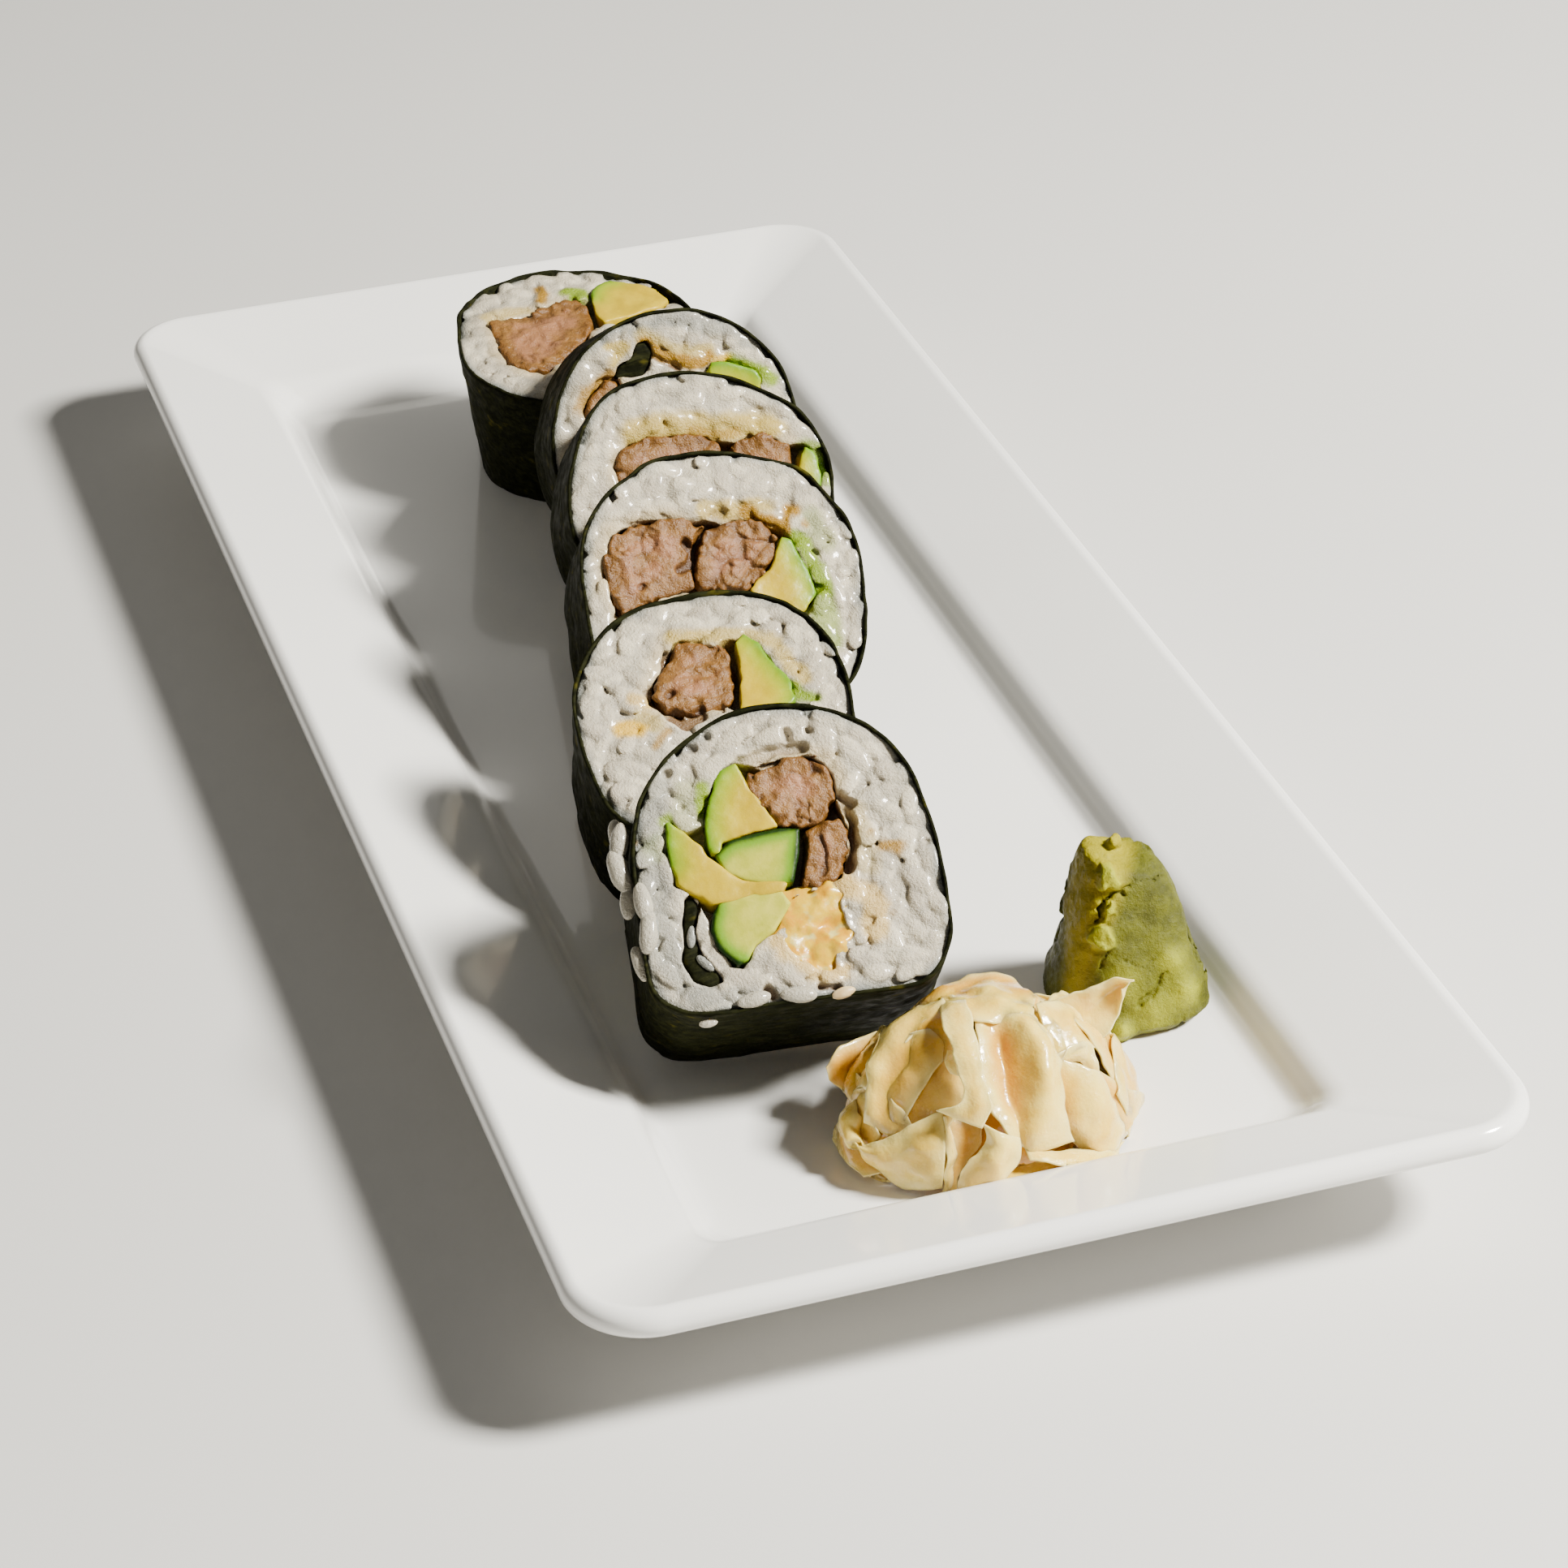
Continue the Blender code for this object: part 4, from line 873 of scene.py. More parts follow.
# ---------------------------------------------------------------- slices
class Slice:
    """A slice's place and outline, worked out from the CAD's box of its nori."""

    def __init__(self, key):
        self.key = key
        shape = SLICES[key]
        self.thick = shape["thick"]
        self.half = shape["half"]
        self.square = shape["square"]
        self.lean = shape["lean"]
        self.skew = shape.get("skew", (0.0, 0.0))
        self.slope = shape.get("slope", (0.0, 0.0))
        turn = Matrix.Rotation(math.radians(shape["turn"]), 3, "Z")
        tip = Matrix.Rotation(-math.radians(shape["lean"]), 3, "X")
        spin = Matrix.Rotation(math.radians(-shape["spin"]), 3, "Y")
        self.turned = np.array(turn @ tip @ spin)
        self.centre = np.zeros(3)
        rings = [self.place(self.ring(self.outline(OUTLINE_POINTS), depth)) for depth in (0.0, self.thick)]
        low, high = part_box(f"nori_{key}")
        middle = np.array(low + high) / 2
        rings = np.vstack(rings)
        self.centre = middle - (rings.min(axis=0) + rings.max(axis=0)) / 2

    def outline(self, count, inset=0.0):
        """The closed outline, count points from the right, anticlockwise, in x and z."""
        right, top, left, bottom = self.half
        points = []
        for i in range(count):
            angle = math.tau * (i + 0.5) / count
            across, up = math.cos(angle), math.sin(angle)
            power = 2.0 / self.square[int(angle / (math.pi / 2))]
            wide = (right if across > 0 else left) - inset
            tall = (top if up > 0 else bottom) - inset
            lumps = math.sin(3 * angle + self.lean) + 0.6 * math.sin(7 * angle + self.thick)
            swell = 1.0 + LUMP * lumps
            points.append((math.copysign(abs(across) ** power, across) * wide * swell,
                           math.copysign(abs(up) ** power, up) * tall * swell))
        return np.array(points)

    def ring(self, outline, depth):
        """An outline in x and z as points of the slice at one depth."""
        outline = np.asarray(outline)
        return np.stack([outline[:, 0], np.broadcast_to(depth, len(outline)), outline[:, 1]], axis=1)

    def place(self, points):
        """Points of the slice, in millimetres, as points of the row, in metres."""
        x, y, z = np.asarray(points, float).T
        front = 1.0 - y / self.thick
        depth = y - (self.slope[0] * x + self.slope[1] * z) * front
        local = np.stack([x + self.skew[0] * front, depth, z + self.skew[1] * front], axis=1)
        return local @ self.turned.T * MM + self.centre

    def unplace(self, points):
        """The slice's own x and z of points that lie on the front cut of a CAD filling."""
        local = (np.asarray(points, float) - self.centre) @ self.turned / MM
        front = 1.0 - GAP / self.thick
        x = local[:, 0] - self.skew[0] * front
        z = local[:, 2] - self.skew[1] * front
        depth = local[:, 1] + (self.slope[0] * x + self.slope[1] * z) * front
        return x, depth, z


def cut_outline(slab, node):
    """The outline of a CAD filling's front cut, in order, in x and z."""
    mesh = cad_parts[node].data
    x, depth, z = slab.unplace(read_points(mesh))
    on_cut = np.abs(depth - GAP) < 0.1
    mesh.calc_loop_triangles()
    names = {}
    numbers = [names.setdefault((round(a, 2), round(b, 2)), i) if flag else -1
               for i, (a, b, flag) in enumerate(zip(x, z, on_cut))]
    edges = {}
    for triangle in mesh.loop_triangles:
        corners = [numbers[v] for v in triangle.vertices]
        if min(corners) < 0:
            continue
        for a, b in zip(corners, corners[1:] + corners[:1]):
            if (b, a) in edges:
                del edges[(b, a)]
            else:
                edges[(a, b)] = True
    follow = dict(edges.keys())
    start = here = next(iter(follow))
    loop = []
    while True:
        loop.append((x[here], z[here]))
        here = follow[here]
        if here == start:
            return loop


def filling_nodes(key):
    """The CAD nodes that lie inside a slice's rice."""
    names = []
    for name in sorted(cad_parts):
        kind, _, tag = name.rpartition("_")
        if kind in FILLING_FORM and tag.startswith(key):
            names.append(name)
    return names


def depth_rows(thick, step, reach, spare):
    """Depths that lie close together near both cuts and far apart between them."""
    near = np.arange(-spare, reach, step)
    far = thick - near[::-1]
    middle = np.linspace(near[-1], far[0], 6)[1:-1]
    return np.concatenate([near, middle, far])


def grain_turn(rng, count):
    """Random directions for grains: each grain's length mostly lies in the cut."""
    yaw = rng.uniform(0, math.tau, count)
    pitch = rng.normal(0, 0.32, count)
    return np.stack([np.cos(pitch) * np.cos(yaw), np.sin(pitch), np.cos(pitch) * np.sin(yaw)], axis=-1)


def strew_grains(rng, outline, holes, spacing):
    """Places and directions of the grains of one layer, clear of the nori and the fillings."""
    half_x, half_z = np.abs(outline).max(axis=0)
    seats = []
    for row, z in enumerate(np.arange(-half_z, half_z, spacing * 0.866)):
        for x in np.arange(-half_x, half_x, spacing) + (row % 2) * spacing / 2:
            seats.append((x, z))
    seats = np.array(seats) + rng.uniform(-0.3, 0.3, (len(seats), 2)) * spacing
    best = np.full(len(seats), np.inf)
    chosen = np.zeros((len(seats), 3))
    for _ in range(GRAIN_TRIES):
        turn = grain_turn(rng, len(seats))
        worst = np.full(len(seats), -np.inf)
        for end in (-1.0, 0.0, 1.0):
            x = seats[:, 0] + turn[:, 0] * end * (GRAIN[0] - GRAIN[1])
            z = seats[:, 1] + turn[:, 2] * end * (GRAIN[0] - GRAIN[1])
            worst = np.maximum(worst, polygon_distance(x, z, outline) + GRAIN[1] * 0.7)
            for hole in holes:
                worst = np.maximum(worst, GRAIN[1] * 0.8 - polygon_distance(x, z, hole))
        worst = np.maximum(worst, -0.3)
        better = worst < best
        best[better] = worst[better]
        chosen[better] = turn[better]
    kept = best < GRAIN_OVERLAP
    return seats[kept], chosen[kept]


def add_grain(grids, axes, middle, turn, radii, outer, tone):
    """Unites a grain with the field; its half on the outer side is squashed flat."""
    reach = radii[0] + 0.8
    span = []
    near = []
    for axis, value in zip(axes, middle):
        part = slice(*np.searchsorted(axis, (value - reach, value + reach)))
        span.append(part)
        near.append(axis[part] - value)
    if min(len(part) for part in near) < 1:
        return
    x, y, z = np.meshgrid(*near, indexing="ij")
    y = np.where(y * outer > 0, y * SQUASH, y)
    side = np.cross(turn, (0.0, 1.0, 0.0))
    side /= max(np.linalg.norm(side), 1e-6)
    third = np.cross(turn, side)
    along = [(x * a[0] + y * a[1] + z * a[2]) for a in (turn, side, third)]
    first = sum((value / r) ** 2 for value, r in zip(along, radii)) ** 0.5
    second = sum((value / r ** 2) ** 2 for value, r in zip(along, radii)) ** 0.5
    lump = first * (first - 1.0) / np.maximum(second, 1e-6)
    field, nearest, other, tones = (grid[tuple(span)] for grid in grids)
    field[...] = -smooth_max(-field, -lump, BLEND)
    other[...] = np.minimum(other, np.maximum(nearest, lump))
    tones[lump < nearest] = tone
    nearest[...] = np.minimum(nearest, lump)


def firm_holes(holes):
    """The outlines of the fillings that grains don't lie over."""
    return [hole for node, hole in holes.items() if node.split("_")[0] in FIRM]


def strew_layers(slab, axes, firm, grids):
    """Puts layers of grains at both cuts into the grids."""
    rng = np.random.default_rng(400 + int(slab.key))
    outline = slab.outline(FINE_OUTLINE)
    for outer, face in ((-1, 0.0), (1, slab.thick)):
        for deep, spacing in LAYERS:
            seats, turns = strew_grains(rng, outline, firm, spacing)
            for seat, turn in zip(seats, turns):
                depth = deep + rng.uniform(-0.45, 0.45)
                size = np.clip(rng.normal(0.98, 0.11), 0.7, 1.2)
                length = rng.choice(GRAIN_LENGTHS)
                middle = (seat[0], face - outer * depth, seat[1])
                radii = (GRAIN[0] * size * length, GRAIN[1] * size, GRAIN[2] * size)
                add_grain(grids, axes, middle, turn, radii, outer, rng.uniform(0, 1))


def filling_room(x, z, holes, ends):
    """Distance to the fillings' room, negative inside it: ragged, and smeared round egg mayonnaise."""
    near = hole_distances(x, z, [hole for node, hole in holes.items() if node != EGG])[0]
    if EGG in holes:
        smear = polygon_distance(x, z, holes[EGG]) + 1.5 + 1.6 * noise(x, 0.0, z, 3.0, 6)
        near = np.minimum(near, smear)
    pair = hole_distances(x, z, firm_holes(holes))[1]
    ragged = 0.15 + 0.35 * noise(x, 0.0, z, 1.7, 5)
    room = np.minimum(near - ragged, (pair - PAIR_GAP) / 2)[:, None, :]
    return np.maximum(room, ends - CARVE_DEPTH)


def rice_field(slab, axes, holes):
    """The rice: grains at both cuts over a solid core, with room for the fillings.

    Besides the field, grids of how near the line where two grains meet is, for the painted shade there, and
    of each grain's own tone."""
    xs, ys, zs = axes
    x, z = np.meshgrid(xs, zs, indexing="ij")
    y = ys[None, :, None]
    ends = np.minimum(y, slab.thick - y)
    wall = (polygon_distance(x, z, slab.outline(FINE_OUTLINE)) + NORI_THICK + 0.05)[:, None, :]
    low, high = CORE_DEPTH
    core = low + (high - low) * smooth_step(noise(x, 0.0, z, 3.4, 9), -0.5, 0.5)
    field = np.maximum(wall + 0.1, core[:, None, :] - ends)
    grids = [field, np.full(field.shape, FAR), np.full(field.shape, FAR), np.full(field.shape, 0.3)]
    strew_layers(slab, axes, firm_holes(holes), grids)
    field, nearest, other, tones = grids
    dents = 0.10 * noise(x, 0.0, z, 1.3, 7) + 0.06 * noise(x, 0.0, z, 0.7, 8)
    field = field + dents[:, None, :]
    field = smooth_max(field, -ends, 0.3)
    field = smooth_max(field, wall, 0.2)
    field = smooth_max(field, hollow_field(slab.key, x, z) - ends, 0.3)
    field = np.maximum(field, -filling_room(x, z, holes, ends))
    return field, np.where(nearest < 0.7, other - nearest, 1.0), tones


def sampled(grid, axes, points):
    """A grid's values at points, blended between its places."""
    base, parts = [], []
    for axis, value in zip(axes, points.T):
        index = np.clip(np.searchsorted(axis, value) - 1, 0, len(axis) - 2)
        base.append(index)
        parts.append(np.clip((value - axis[index]) / (axis[index + 1] - axis[index]), 0, 1))
    return blended(parts, lambda corner: grid[tuple(index + side for index, side in zip(base, corner))])


def hollow_values(key, x, z):
    """How deep the cut is hollowed at places in it, and how much painted shade darkens the hollows."""
    depth, dark = np.zeros(np.shape(x)), np.zeros(np.shape(x))
    for points, reach, deep, shade in HOLLOWS.get(key, []):
        gap = line_distance(x, z, points) - reach + 0.35 * noise(x, 0.0, z, 1.6, 33)
        share = 1 - smooth_step(gap, -0.4, 0.4)
        depth = np.maximum(depth, deep * share)
        dark = np.maximum(dark, shade * share)
    return depth, dark


def hole_distances(x, z, holes):
    """Distance to the nearest filling, and to the two nearest together."""
    gaps = np.full((2, *x.shape), 50.0)
    for hole in holes:
        gap = polygon_distance(x, z, hole)
        gaps[1] = np.minimum(gaps[1], np.maximum(gaps[0], gap))
        gaps[0] = np.minimum(gaps[0], gap)
    return gaps[0], gaps[0] + gaps[1]


def stain_and_shade_values(slab, x, z):
    """How strongly each kind of mark colours the rice at places in the cut; the greyed kind is painted shade.
    """
    values = {kind: np.zeros(len(x)) for kind in STAIN_AND_SHADE_KINDS}
    wobble = 0.6 * noise(x, 0.0, z, 2.2, 21) + 0.3 * noise(x, 0.0, z, 0.9, 22)
    for kind, points, reach, strength in STAINS_AND_SHADE[slab.key]:
        gap = line_distance(x, z, points) + wobble * min(1.0, reach / 2)
        values[kind] = np.maximum(values[kind], strength * (1 - smooth_step(gap, 0.4 * reach, 1.1 * reach)))
    return values


def build_rice(slab, look, holes):
    """A slice's rice, with the painted values that colour it."""
    step = FINE[slab.key]
    spread = np.abs(slab.outline(FINE_OUTLINE)).max(axis=0) + 2 * step
    axes = (ticks(-spread[0], spread[0], step), depth_rows(slab.thick, step, RICE_REACH, SPARE),
            ticks(-spread[1], spread[1], step))
    field, seams, tones = rice_field(slab, axes, holes)
    points, faces = surface(padded(field), axes)
    mesh = slimmed(make_mesh(f"rice_{slab.key}_grains", points, faces), KEEP_RICE)
    points = read_points(mesh)
    x, y, z = points.T
    # painted shade: rice darkened where two grains meet
    paint(mesh, "seam_shade", 1 - smooth_step(sampled(seams, axes, points), 0.0, 0.5))
    paint(mesh, "tone", sampled(tones, axes, points))
    ends = np.minimum(y, slab.thick - y)
    wall = -polygon_distance(x, z, slab.outline(FINE_OUTLINE))
    stains_and_shade = stain_and_shade_values(slab, x, z)
    grey_shade = stains_and_shade.pop("grey_shade")
    for kind, values in stains_and_shade.items():
        paint(mesh, kind, values)
    # painted shade: rice greyed near the nori, where it meets the sheet, and along the greyed lines of the
    # table
    edge = wall + 0.5 * noise(x, y, z, 2.0, 3) + 0.7 * noise(x, 0.0, z, 6.0, 4) - ends * 0.4
    paint(mesh, "rim", np.maximum(grey_shade, 0.85 * (1 - smooth_step(edge, 0.2, 2.3))))
    near = hole_distances(x, z, [hole for node, hole in holes.items() if node.startswith("tuna")])[0]
    # painted shade: dark brown deep in the cut by the tuna and in the hollows, standing also for soaked sauce
    soak_and_shade = smooth_step(ends, 0.8, 2.4) * (1 - smooth_step(near, 0.8, 2.4))
    dark = hollow_values(slab.key, x, z)[1] * smooth_step(ends, 0.2, 1.2)
    paint(mesh, "soak_and_shade", np.maximum(soak_and_shade, dark))
    paint(mesh, "warm", 1 - smooth_step(near + 0.9 * noise(x, y, z, 2.6, 12), 0.3, 3.6))
    write_points(mesh, slab.place(points))
    add_piece(f"rice_{slab.key}_grains", mesh, look, "rice", f"rice_{slab.key}")


def hollow_field(key, x, z):
    """The hollows' depth over a grid of the cut, and far below zero where there are none."""
    depth = hollow_values(key, x, z)[0]
    return np.where(depth > 0, depth, -FAR)[:, None, :]


def filling_field(slab, node, axes, outline, form, seed):
    """A bar with a ragged outline and a rough cut at both ends, which in tuna is creased."""
    x, y, z = np.meshgrid(*axes, indexing="ij")
    flat_x, flat_z = x[:, 0, :], z[:, 0, :]
    side = polygon_distance(flat_x, flat_z, outline)[:, None, :] - form["grow"]
    side = side + form["ragged"] * 0.6 * fractal(x, y, z, form["size"], seed, 3)
    ends = np.minimum(y, slab.thick - y)
    rough = form["relief"] * 0.5 * (1 + fractal(flat_x, 0.0, flat_z, form["size"], seed + 3, 3))
    level = rough - PROUD.get(node, PROUD_USUAL)
    field = smooth_max(side, level[:, None, :] - ends, form["rounding"])
    if node.startswith("tuna"):
        deep = 0.9 if slab.key == "1" else 0.5
        field = field + deep * creases(x, y, z, seed) - 0.30 * noise(x, y, z, 1.2, seed + 4)
        field = smooth_max(field, hollow_field(slab.key, flat_x, flat_z) - ends, 0.3)
    return field


def build_filling(slab, node, look, outline):
    """One filling, with its painted edge, creases and skin."""
    kind = node.rpartition("_")[0]
    form = FILLING_FORM[kind]
    step = form["step"] if slab.key in NEAR_SLICES else form["step"] * 1.3
    seed = 60 + sum(map(ord, node))
    low, high = outline.min(axis=0) - SPARE, outline.max(axis=0) + SPARE
    spare = SPARE + max(PROUD.get(node, PROUD_USUAL), 0)
    axes = (ticks(low[0], high[0], step), depth_rows(slab.thick, step, FILLING_REACH, spare),
            ticks(low[1], high[1], step))
    points, faces = surface(padded(filling_field(slab, node, axes, outline, form, seed)), axes)
    mesh = slimmed(make_mesh(f"{node}_cut", points, faces), KEEP_FILLING)
    points = read_points(mesh)
    x, y, z = points.T
    distance = polygon_distance(x, z, outline)
    paint(mesh, "edge", -distance)
    if kind == "tuna":
        share = 1.0 if slab.key == "1" else 0.5
        # painted shade in the creases and the hollows
        paint(mesh, "crack", np.maximum(share * creases(x, y, z, seed), hollow_values(slab.key, x, z)[1]))
    if node in SKIN_SIDES:
        paint(mesh, "skin", skin_values(node, outline, x, z))
    write_points(mesh, slab.place(points))
    add_piece(f"{node}_cut", mesh, look, "nori" if kind == "nori_end" else kind, node)


def skin_values(node, outline, x, z):
    """1 at the skin or green rim of a filling, fading inwards."""
    dense = smooth_line(outline, 160, closed=True)
    ahead = np.roll(dense, -1, axis=0) - np.roll(dense, 1, axis=0)
    area = np.sum(dense[:, 0] * np.roll(dense[:, 1], -1) - np.roll(dense[:, 0], -1) * dense[:, 1])
    normal = unit(np.stack([ahead[:, 1], -ahead[:, 0]], axis=1) * np.sign(area))
    facing = np.zeros(len(dense))
    for side in SKIN_SIDES[node]:
        facing = np.maximum(facing, normal @ np.array(side) / np.hypot(*side))
    gap = np.full(len(x), np.inf)
    for point in dense[facing > 0.72]:
        gap = np.minimum(gap, np.hypot(x - point[0], z - point[1]))
    fade = 1.6 if node.startswith("cucumber") else 2.4
    return np.exp(-gap / fade)


def creases(x, y, z, seed):
    """1 in the broken creases between the flakes of cooked tuna, 0 on the flakes."""
    deepest = 0.0
    for size, share in zip(CREASE_SIZE, (1.0, 0.5)):
        bend_x = x + 0.45 * size * noise(x, y, z, size * 0.7, seed)
        bend_z = z + 0.45 * size * noise(x, y, z, size * 0.7, seed + 1)
        first, second = cells(bend_x, y * 0.5, bend_z, size, seed)
        crease = 1 - smooth_step(second - first, 0.0, 0.22 * size)
        open_here = smooth_step(noise(x, y, z, size * 1.3, seed + 2), 0.1, 0.5)
        deepest = np.maximum(deepest, share * crease * open_here)
    return deepest


def nori_layer(ring, depth, loop, seed):
    """One line of points round the sheet, wrinkled and streaked."""
    wrinkle = 0.22 * fractal(loop[0], depth, loop[1], 5.0, seed + 2, 2)
    streak = 0.16 * noise(loop[0], depth * 3.6, loop[1], 5.5, seed + 3)
    dent = np.minimum(wrinkle + streak, 0.22) - 0.12
    shift = ring * (1 + dent / 22.0)[:, None]
    return np.stack([shift[:, 0], depth, shift[:, 1]], axis=1)


def build_nori(slab, look):
    """The sheet round the slice: wrinkled, with an uneven cut edge."""
    key = slab.key
    around, rows = NORI_GRID[key in NEAR_SLICES]
    outline = slab.outline(around)
    inner = slab.outline(around, NORI_THICK)
    arc = np.cumsum(np.linalg.norm(np.roll(outline, -1, axis=0) - outline, axis=1))
    whole = arc[-1]
    turn = arc / whole * math.tau
    loop = np.cos(turn) * whole / math.tau, np.sin(turn) * whole / math.tau
    seed = 30 + int(key)
    lift = 0.35 * noise(loop[0], 0.0, loop[1], 7.0, seed) + 0.25 * noise(loop[0], 0.0, loop[1], 2.2, seed + 1)
    front = 0.05 + 1.1 * lift
    back = 0.2 + 1.3 * np.roll(lift, around // 3)
    deep = slab.thick + back - front
    layers = [nori_layer(outline, front + deep * part, loop, seed) for part in np.linspace(0, 1, rows)]
    layers += [nori_layer(inner, front + deep * part, loop, seed) for part in np.linspace(1, 0, rows // 3)]
    faces = grid_faces(len(layers), around, closed_rows=True, closed_columns=True)
    mesh = make_mesh(f"nori_{key}_sheet", slab.place(np.vstack(layers)), np.array(faces)[:, ::-1])
    add_piece(f"nori_{key}_sheet", mesh, look, "nori", f"nori_{key}")


def build_loose(slab, look, name, grains):
    """Single grains that stick to the outside of a slice."""
    rng = np.random.default_rng(900)
    step = 0.2
    size = ticks(-3.6, 3.6, step)
    points, faces = [], []
    total = 0
    for x, depth, z, direction, scale in grains:
        grid = np.meshgrid(size, size, size, indexing="ij")
        turned = math.radians(direction)
        along = grid[0] * math.cos(turned) + grid[2] * math.sin(turned)
        side = grid[2] * math.cos(turned) - grid[0] * math.sin(turned)
        radii = [r * scale for r in GRAIN]
        span = np.sqrt((along / radii[0]) ** 2 + (side / radii[1]) ** 2 + (grid[1] / radii[2]) ** 2)
        field = span - 1 + 0.12 * noise(*grid, 1.8, int(rng.integers(99)))
        part, quads = surface(padded(field), [size, size, size])
        points.append(part + (x, depth, z))
        faces.append(quads + total)
        total += len(part)
    points = np.vstack(points)
    mesh = make_mesh(name, slab.place(points), np.vstack(faces))
    # painted shade: every grain greyed, those over the cut more than those outside the slice
    within = polygon_distance(points[:, 0], points[:, 2], slab.outline(FINE_OUTLINE)) < -2.5
    paint(mesh, "rim", 0.35 + 0.5 * within)
    paint(mesh, "tone", np.full(len(points), 0.6))
    add_piece(name, mesh, look, "rice")


def build_slices(looks):
    """Each slice's nori, rice and fillings, and what sticks to the first one."""
    for key in SLICES:
        slab = Slice(key)
        holes = {node: np.array(CUTS.get(node) or cut_outline(slab, node)) for node in filling_nodes(key)}
        build_nori(slab, looks["nori"])
        build_rice(slab, looks["rice"], holes)
        for node, outline in holes.items():
            kind = node.rpartition("_")[0]
            build_filling(slab, node, looks["nori" if kind == "nori_end" else kind], outline)
        if key == "1":
            build_loose(slab, looks["rice"], "rice_loose_grains", LOOSE_GRAINS)
            build_loose(slab, looks["seed"], "sesame_seed", SESAME)


# ---------------------------------------------------------------- ginger
def mound_shape():
    """Seat and radii of the ginger's mound, half an ellipsoid, and the middle of its CAD box."""
    low, high = (np.array(corner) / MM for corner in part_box("ginger_heap"))
    middle = (low + high) / 2
    radii = (high - low) / 2
    return np.array([middle[0], middle[1], low[2]]), np.array([radii[0], radii[1], high[2] - low[2]]), middle


def front_points(points, on_mound=True):
    """Points given as right, up and nearer, in millimetres of the row.

    Nearer counts from the mound's surface, or else from the middle of its box."""
    seat, radii, middle = mound_shape()
    points = np.atleast_2d(np.asarray(points, float))
    base = middle + points[:, :1] * FRONT[0] + points[:, 1:2] * FRONT[1]
    near = points[:, 2]
    if on_mound:
        start = (base - seat) / radii
        way = FRONT[2] / radii
        square = way @ way
        half = start @ way
        rest = (start ** 2).sum(axis=1) - 1.0
        near = near + (np.sqrt(np.maximum(half ** 2 - square * rest, 0.0)) - half) / square
    placed = base + near[:, None] * FRONT[2]
    floor = GINGER_FLOOR + WELL_RISE * np.maximum(WELL_EDGE - placed[:, 1], 0.0)
    short = np.maximum(floor - placed[:, 2], 0.0) / FRONT[2][2]
    return placed + short[:, None] * FRONT[2]


def mound_points(points):
    """Points given as bearing and rise in degrees and lift in millimetres off the mound."""
    seat, radii, _ = mound_shape()
    bearing, rise, lift = np.asarray(points, float).T
    bearing, rise = np.radians(bearing), np.radians(rise)
    way = np.stack([np.cos(rise) * np.cos(bearing), np.cos(rise) * np.sin(bearing), np.sin(rise)], axis=1)
    placed = seat + way * (radii + lift[:, None])
    placed[:, 2] = np.maximum(placed[:, 2], GINGER_FLOOR)
    return placed


def wavy(middle, side, run, seed):
    """A sheet's middle with waves and a frayed rim, its normals, and distances to its rim."""
    over = np.gradient(middle, axis=0)
    normal = unit(np.cross(np.gradient(middle, axis=1), over))
    width = np.linalg.norm(middle[-1] - middle[0], axis=1).mean() + 1e-6
    length = np.linalg.norm(np.diff(middle[0], axis=0), axis=1).sum()
    rim = np.minimum(np.minimum(side, 1 - side) * width, np.minimum(run, 1 - run) * length)
    x, y, z = middle.transpose(2, 0, 1)
    waves = 0.7 * noise(x, y, z, 4.6, seed) + 0.3 * noise(x, y, z, 2.0, seed + 1)
    waves = waves + 0.35 * np.exp(-rim / 1.2) * noise(x, y, z, 2.6, seed + 2)
    outward = unit(over * np.sign(side - 0.5)[:, :, None])
    fray = 0.35 * np.exp(-rim / 0.8) * noise(x, y, z, 1.6, seed + 3)
    return middle + normal * waves[:, :, None] + outward * fray[:, :, None], normal, rim


def sheet_faces(rows, count):
    """Faces of a sheet's front, then of its back, then of the rim between them."""
    faces = grid_faces(rows, count)
    size = rows * count
    faces += [tuple(size + corner for corner in face[::-1]) for face in faces]
    border = [*range(count), *range(2 * count - 1, size, count)]
    border += [*range(size - 2, size - count - 1, -1), *range(size - 2 * count, 0, -count)]
    return faces + [(b, a, size + a, size + b) for a, b in zip(border, border[1:] + border[:1])]


def sheet(lines, to_row, seed):
    """A thin wavy slice through smooth lines: its points, faces, rim distance and depth."""
    count = SHEET_ALONG
    drawn = np.array([smooth_line(line, count) for line in lines])
    rows = (len(lines) - 1) * SHEET_ACROSS + 1
    grid = np.array([smooth_line(drawn[:, i], rows) for i in range(count)]).transpose(1, 0, 2)
    middle = to_row(grid.reshape(-1, 3)).reshape(rows, count, 3)
    side = np.linspace(0, 1, rows)[:, None]
    run = np.linspace(0, 1, count)[None, :]
    middle, normal, rim = wavy(middle, side, run, seed)
    thick, thin = GINGER_THICK
    half = (thin + (thick - thin) * smooth_step(rim, 0.0, 2.0)) / 2
    front = (middle + normal * half[:, :, None]).reshape(-1, 3)
    back = (middle - normal * half[:, :, None]).reshape(-1, 3)
    depth = grid[:, :, 2].ravel()
    return np.vstack([front, back]), sheet_faces(rows, count), np.tile(rim.ravel(), 2), np.tile(depth, 2)


def back_slices():
    """Slices over the side of the heap that faces away from the front, tier above tier."""
    rng = np.random.default_rng(77)
    slices = []
    for count, rise, width in BACK_SLICES:
        for bearing in np.linspace(-12, 192, count) + rng.uniform(-6, 6, count):
            low = rise + rng.uniform(-4, 6)
            lift = rng.uniform(-2.2, -0.8)
            turned = rng.uniform(-9, 9)
            outer, middle, inner = [], [], []
            for step in np.linspace(-1, 1, 5):
                place = bearing + width * step
                sag = 12 * step * step
                outer.append((place - turned, low - sag + 24, 0.9 + lift))
                middle.append((place, low - sag + 8, 0.2 + lift))
                inner.append((place + turned, low - sag - 12, -0.9))
            slices.append([outer, middle, inner])
    return slices


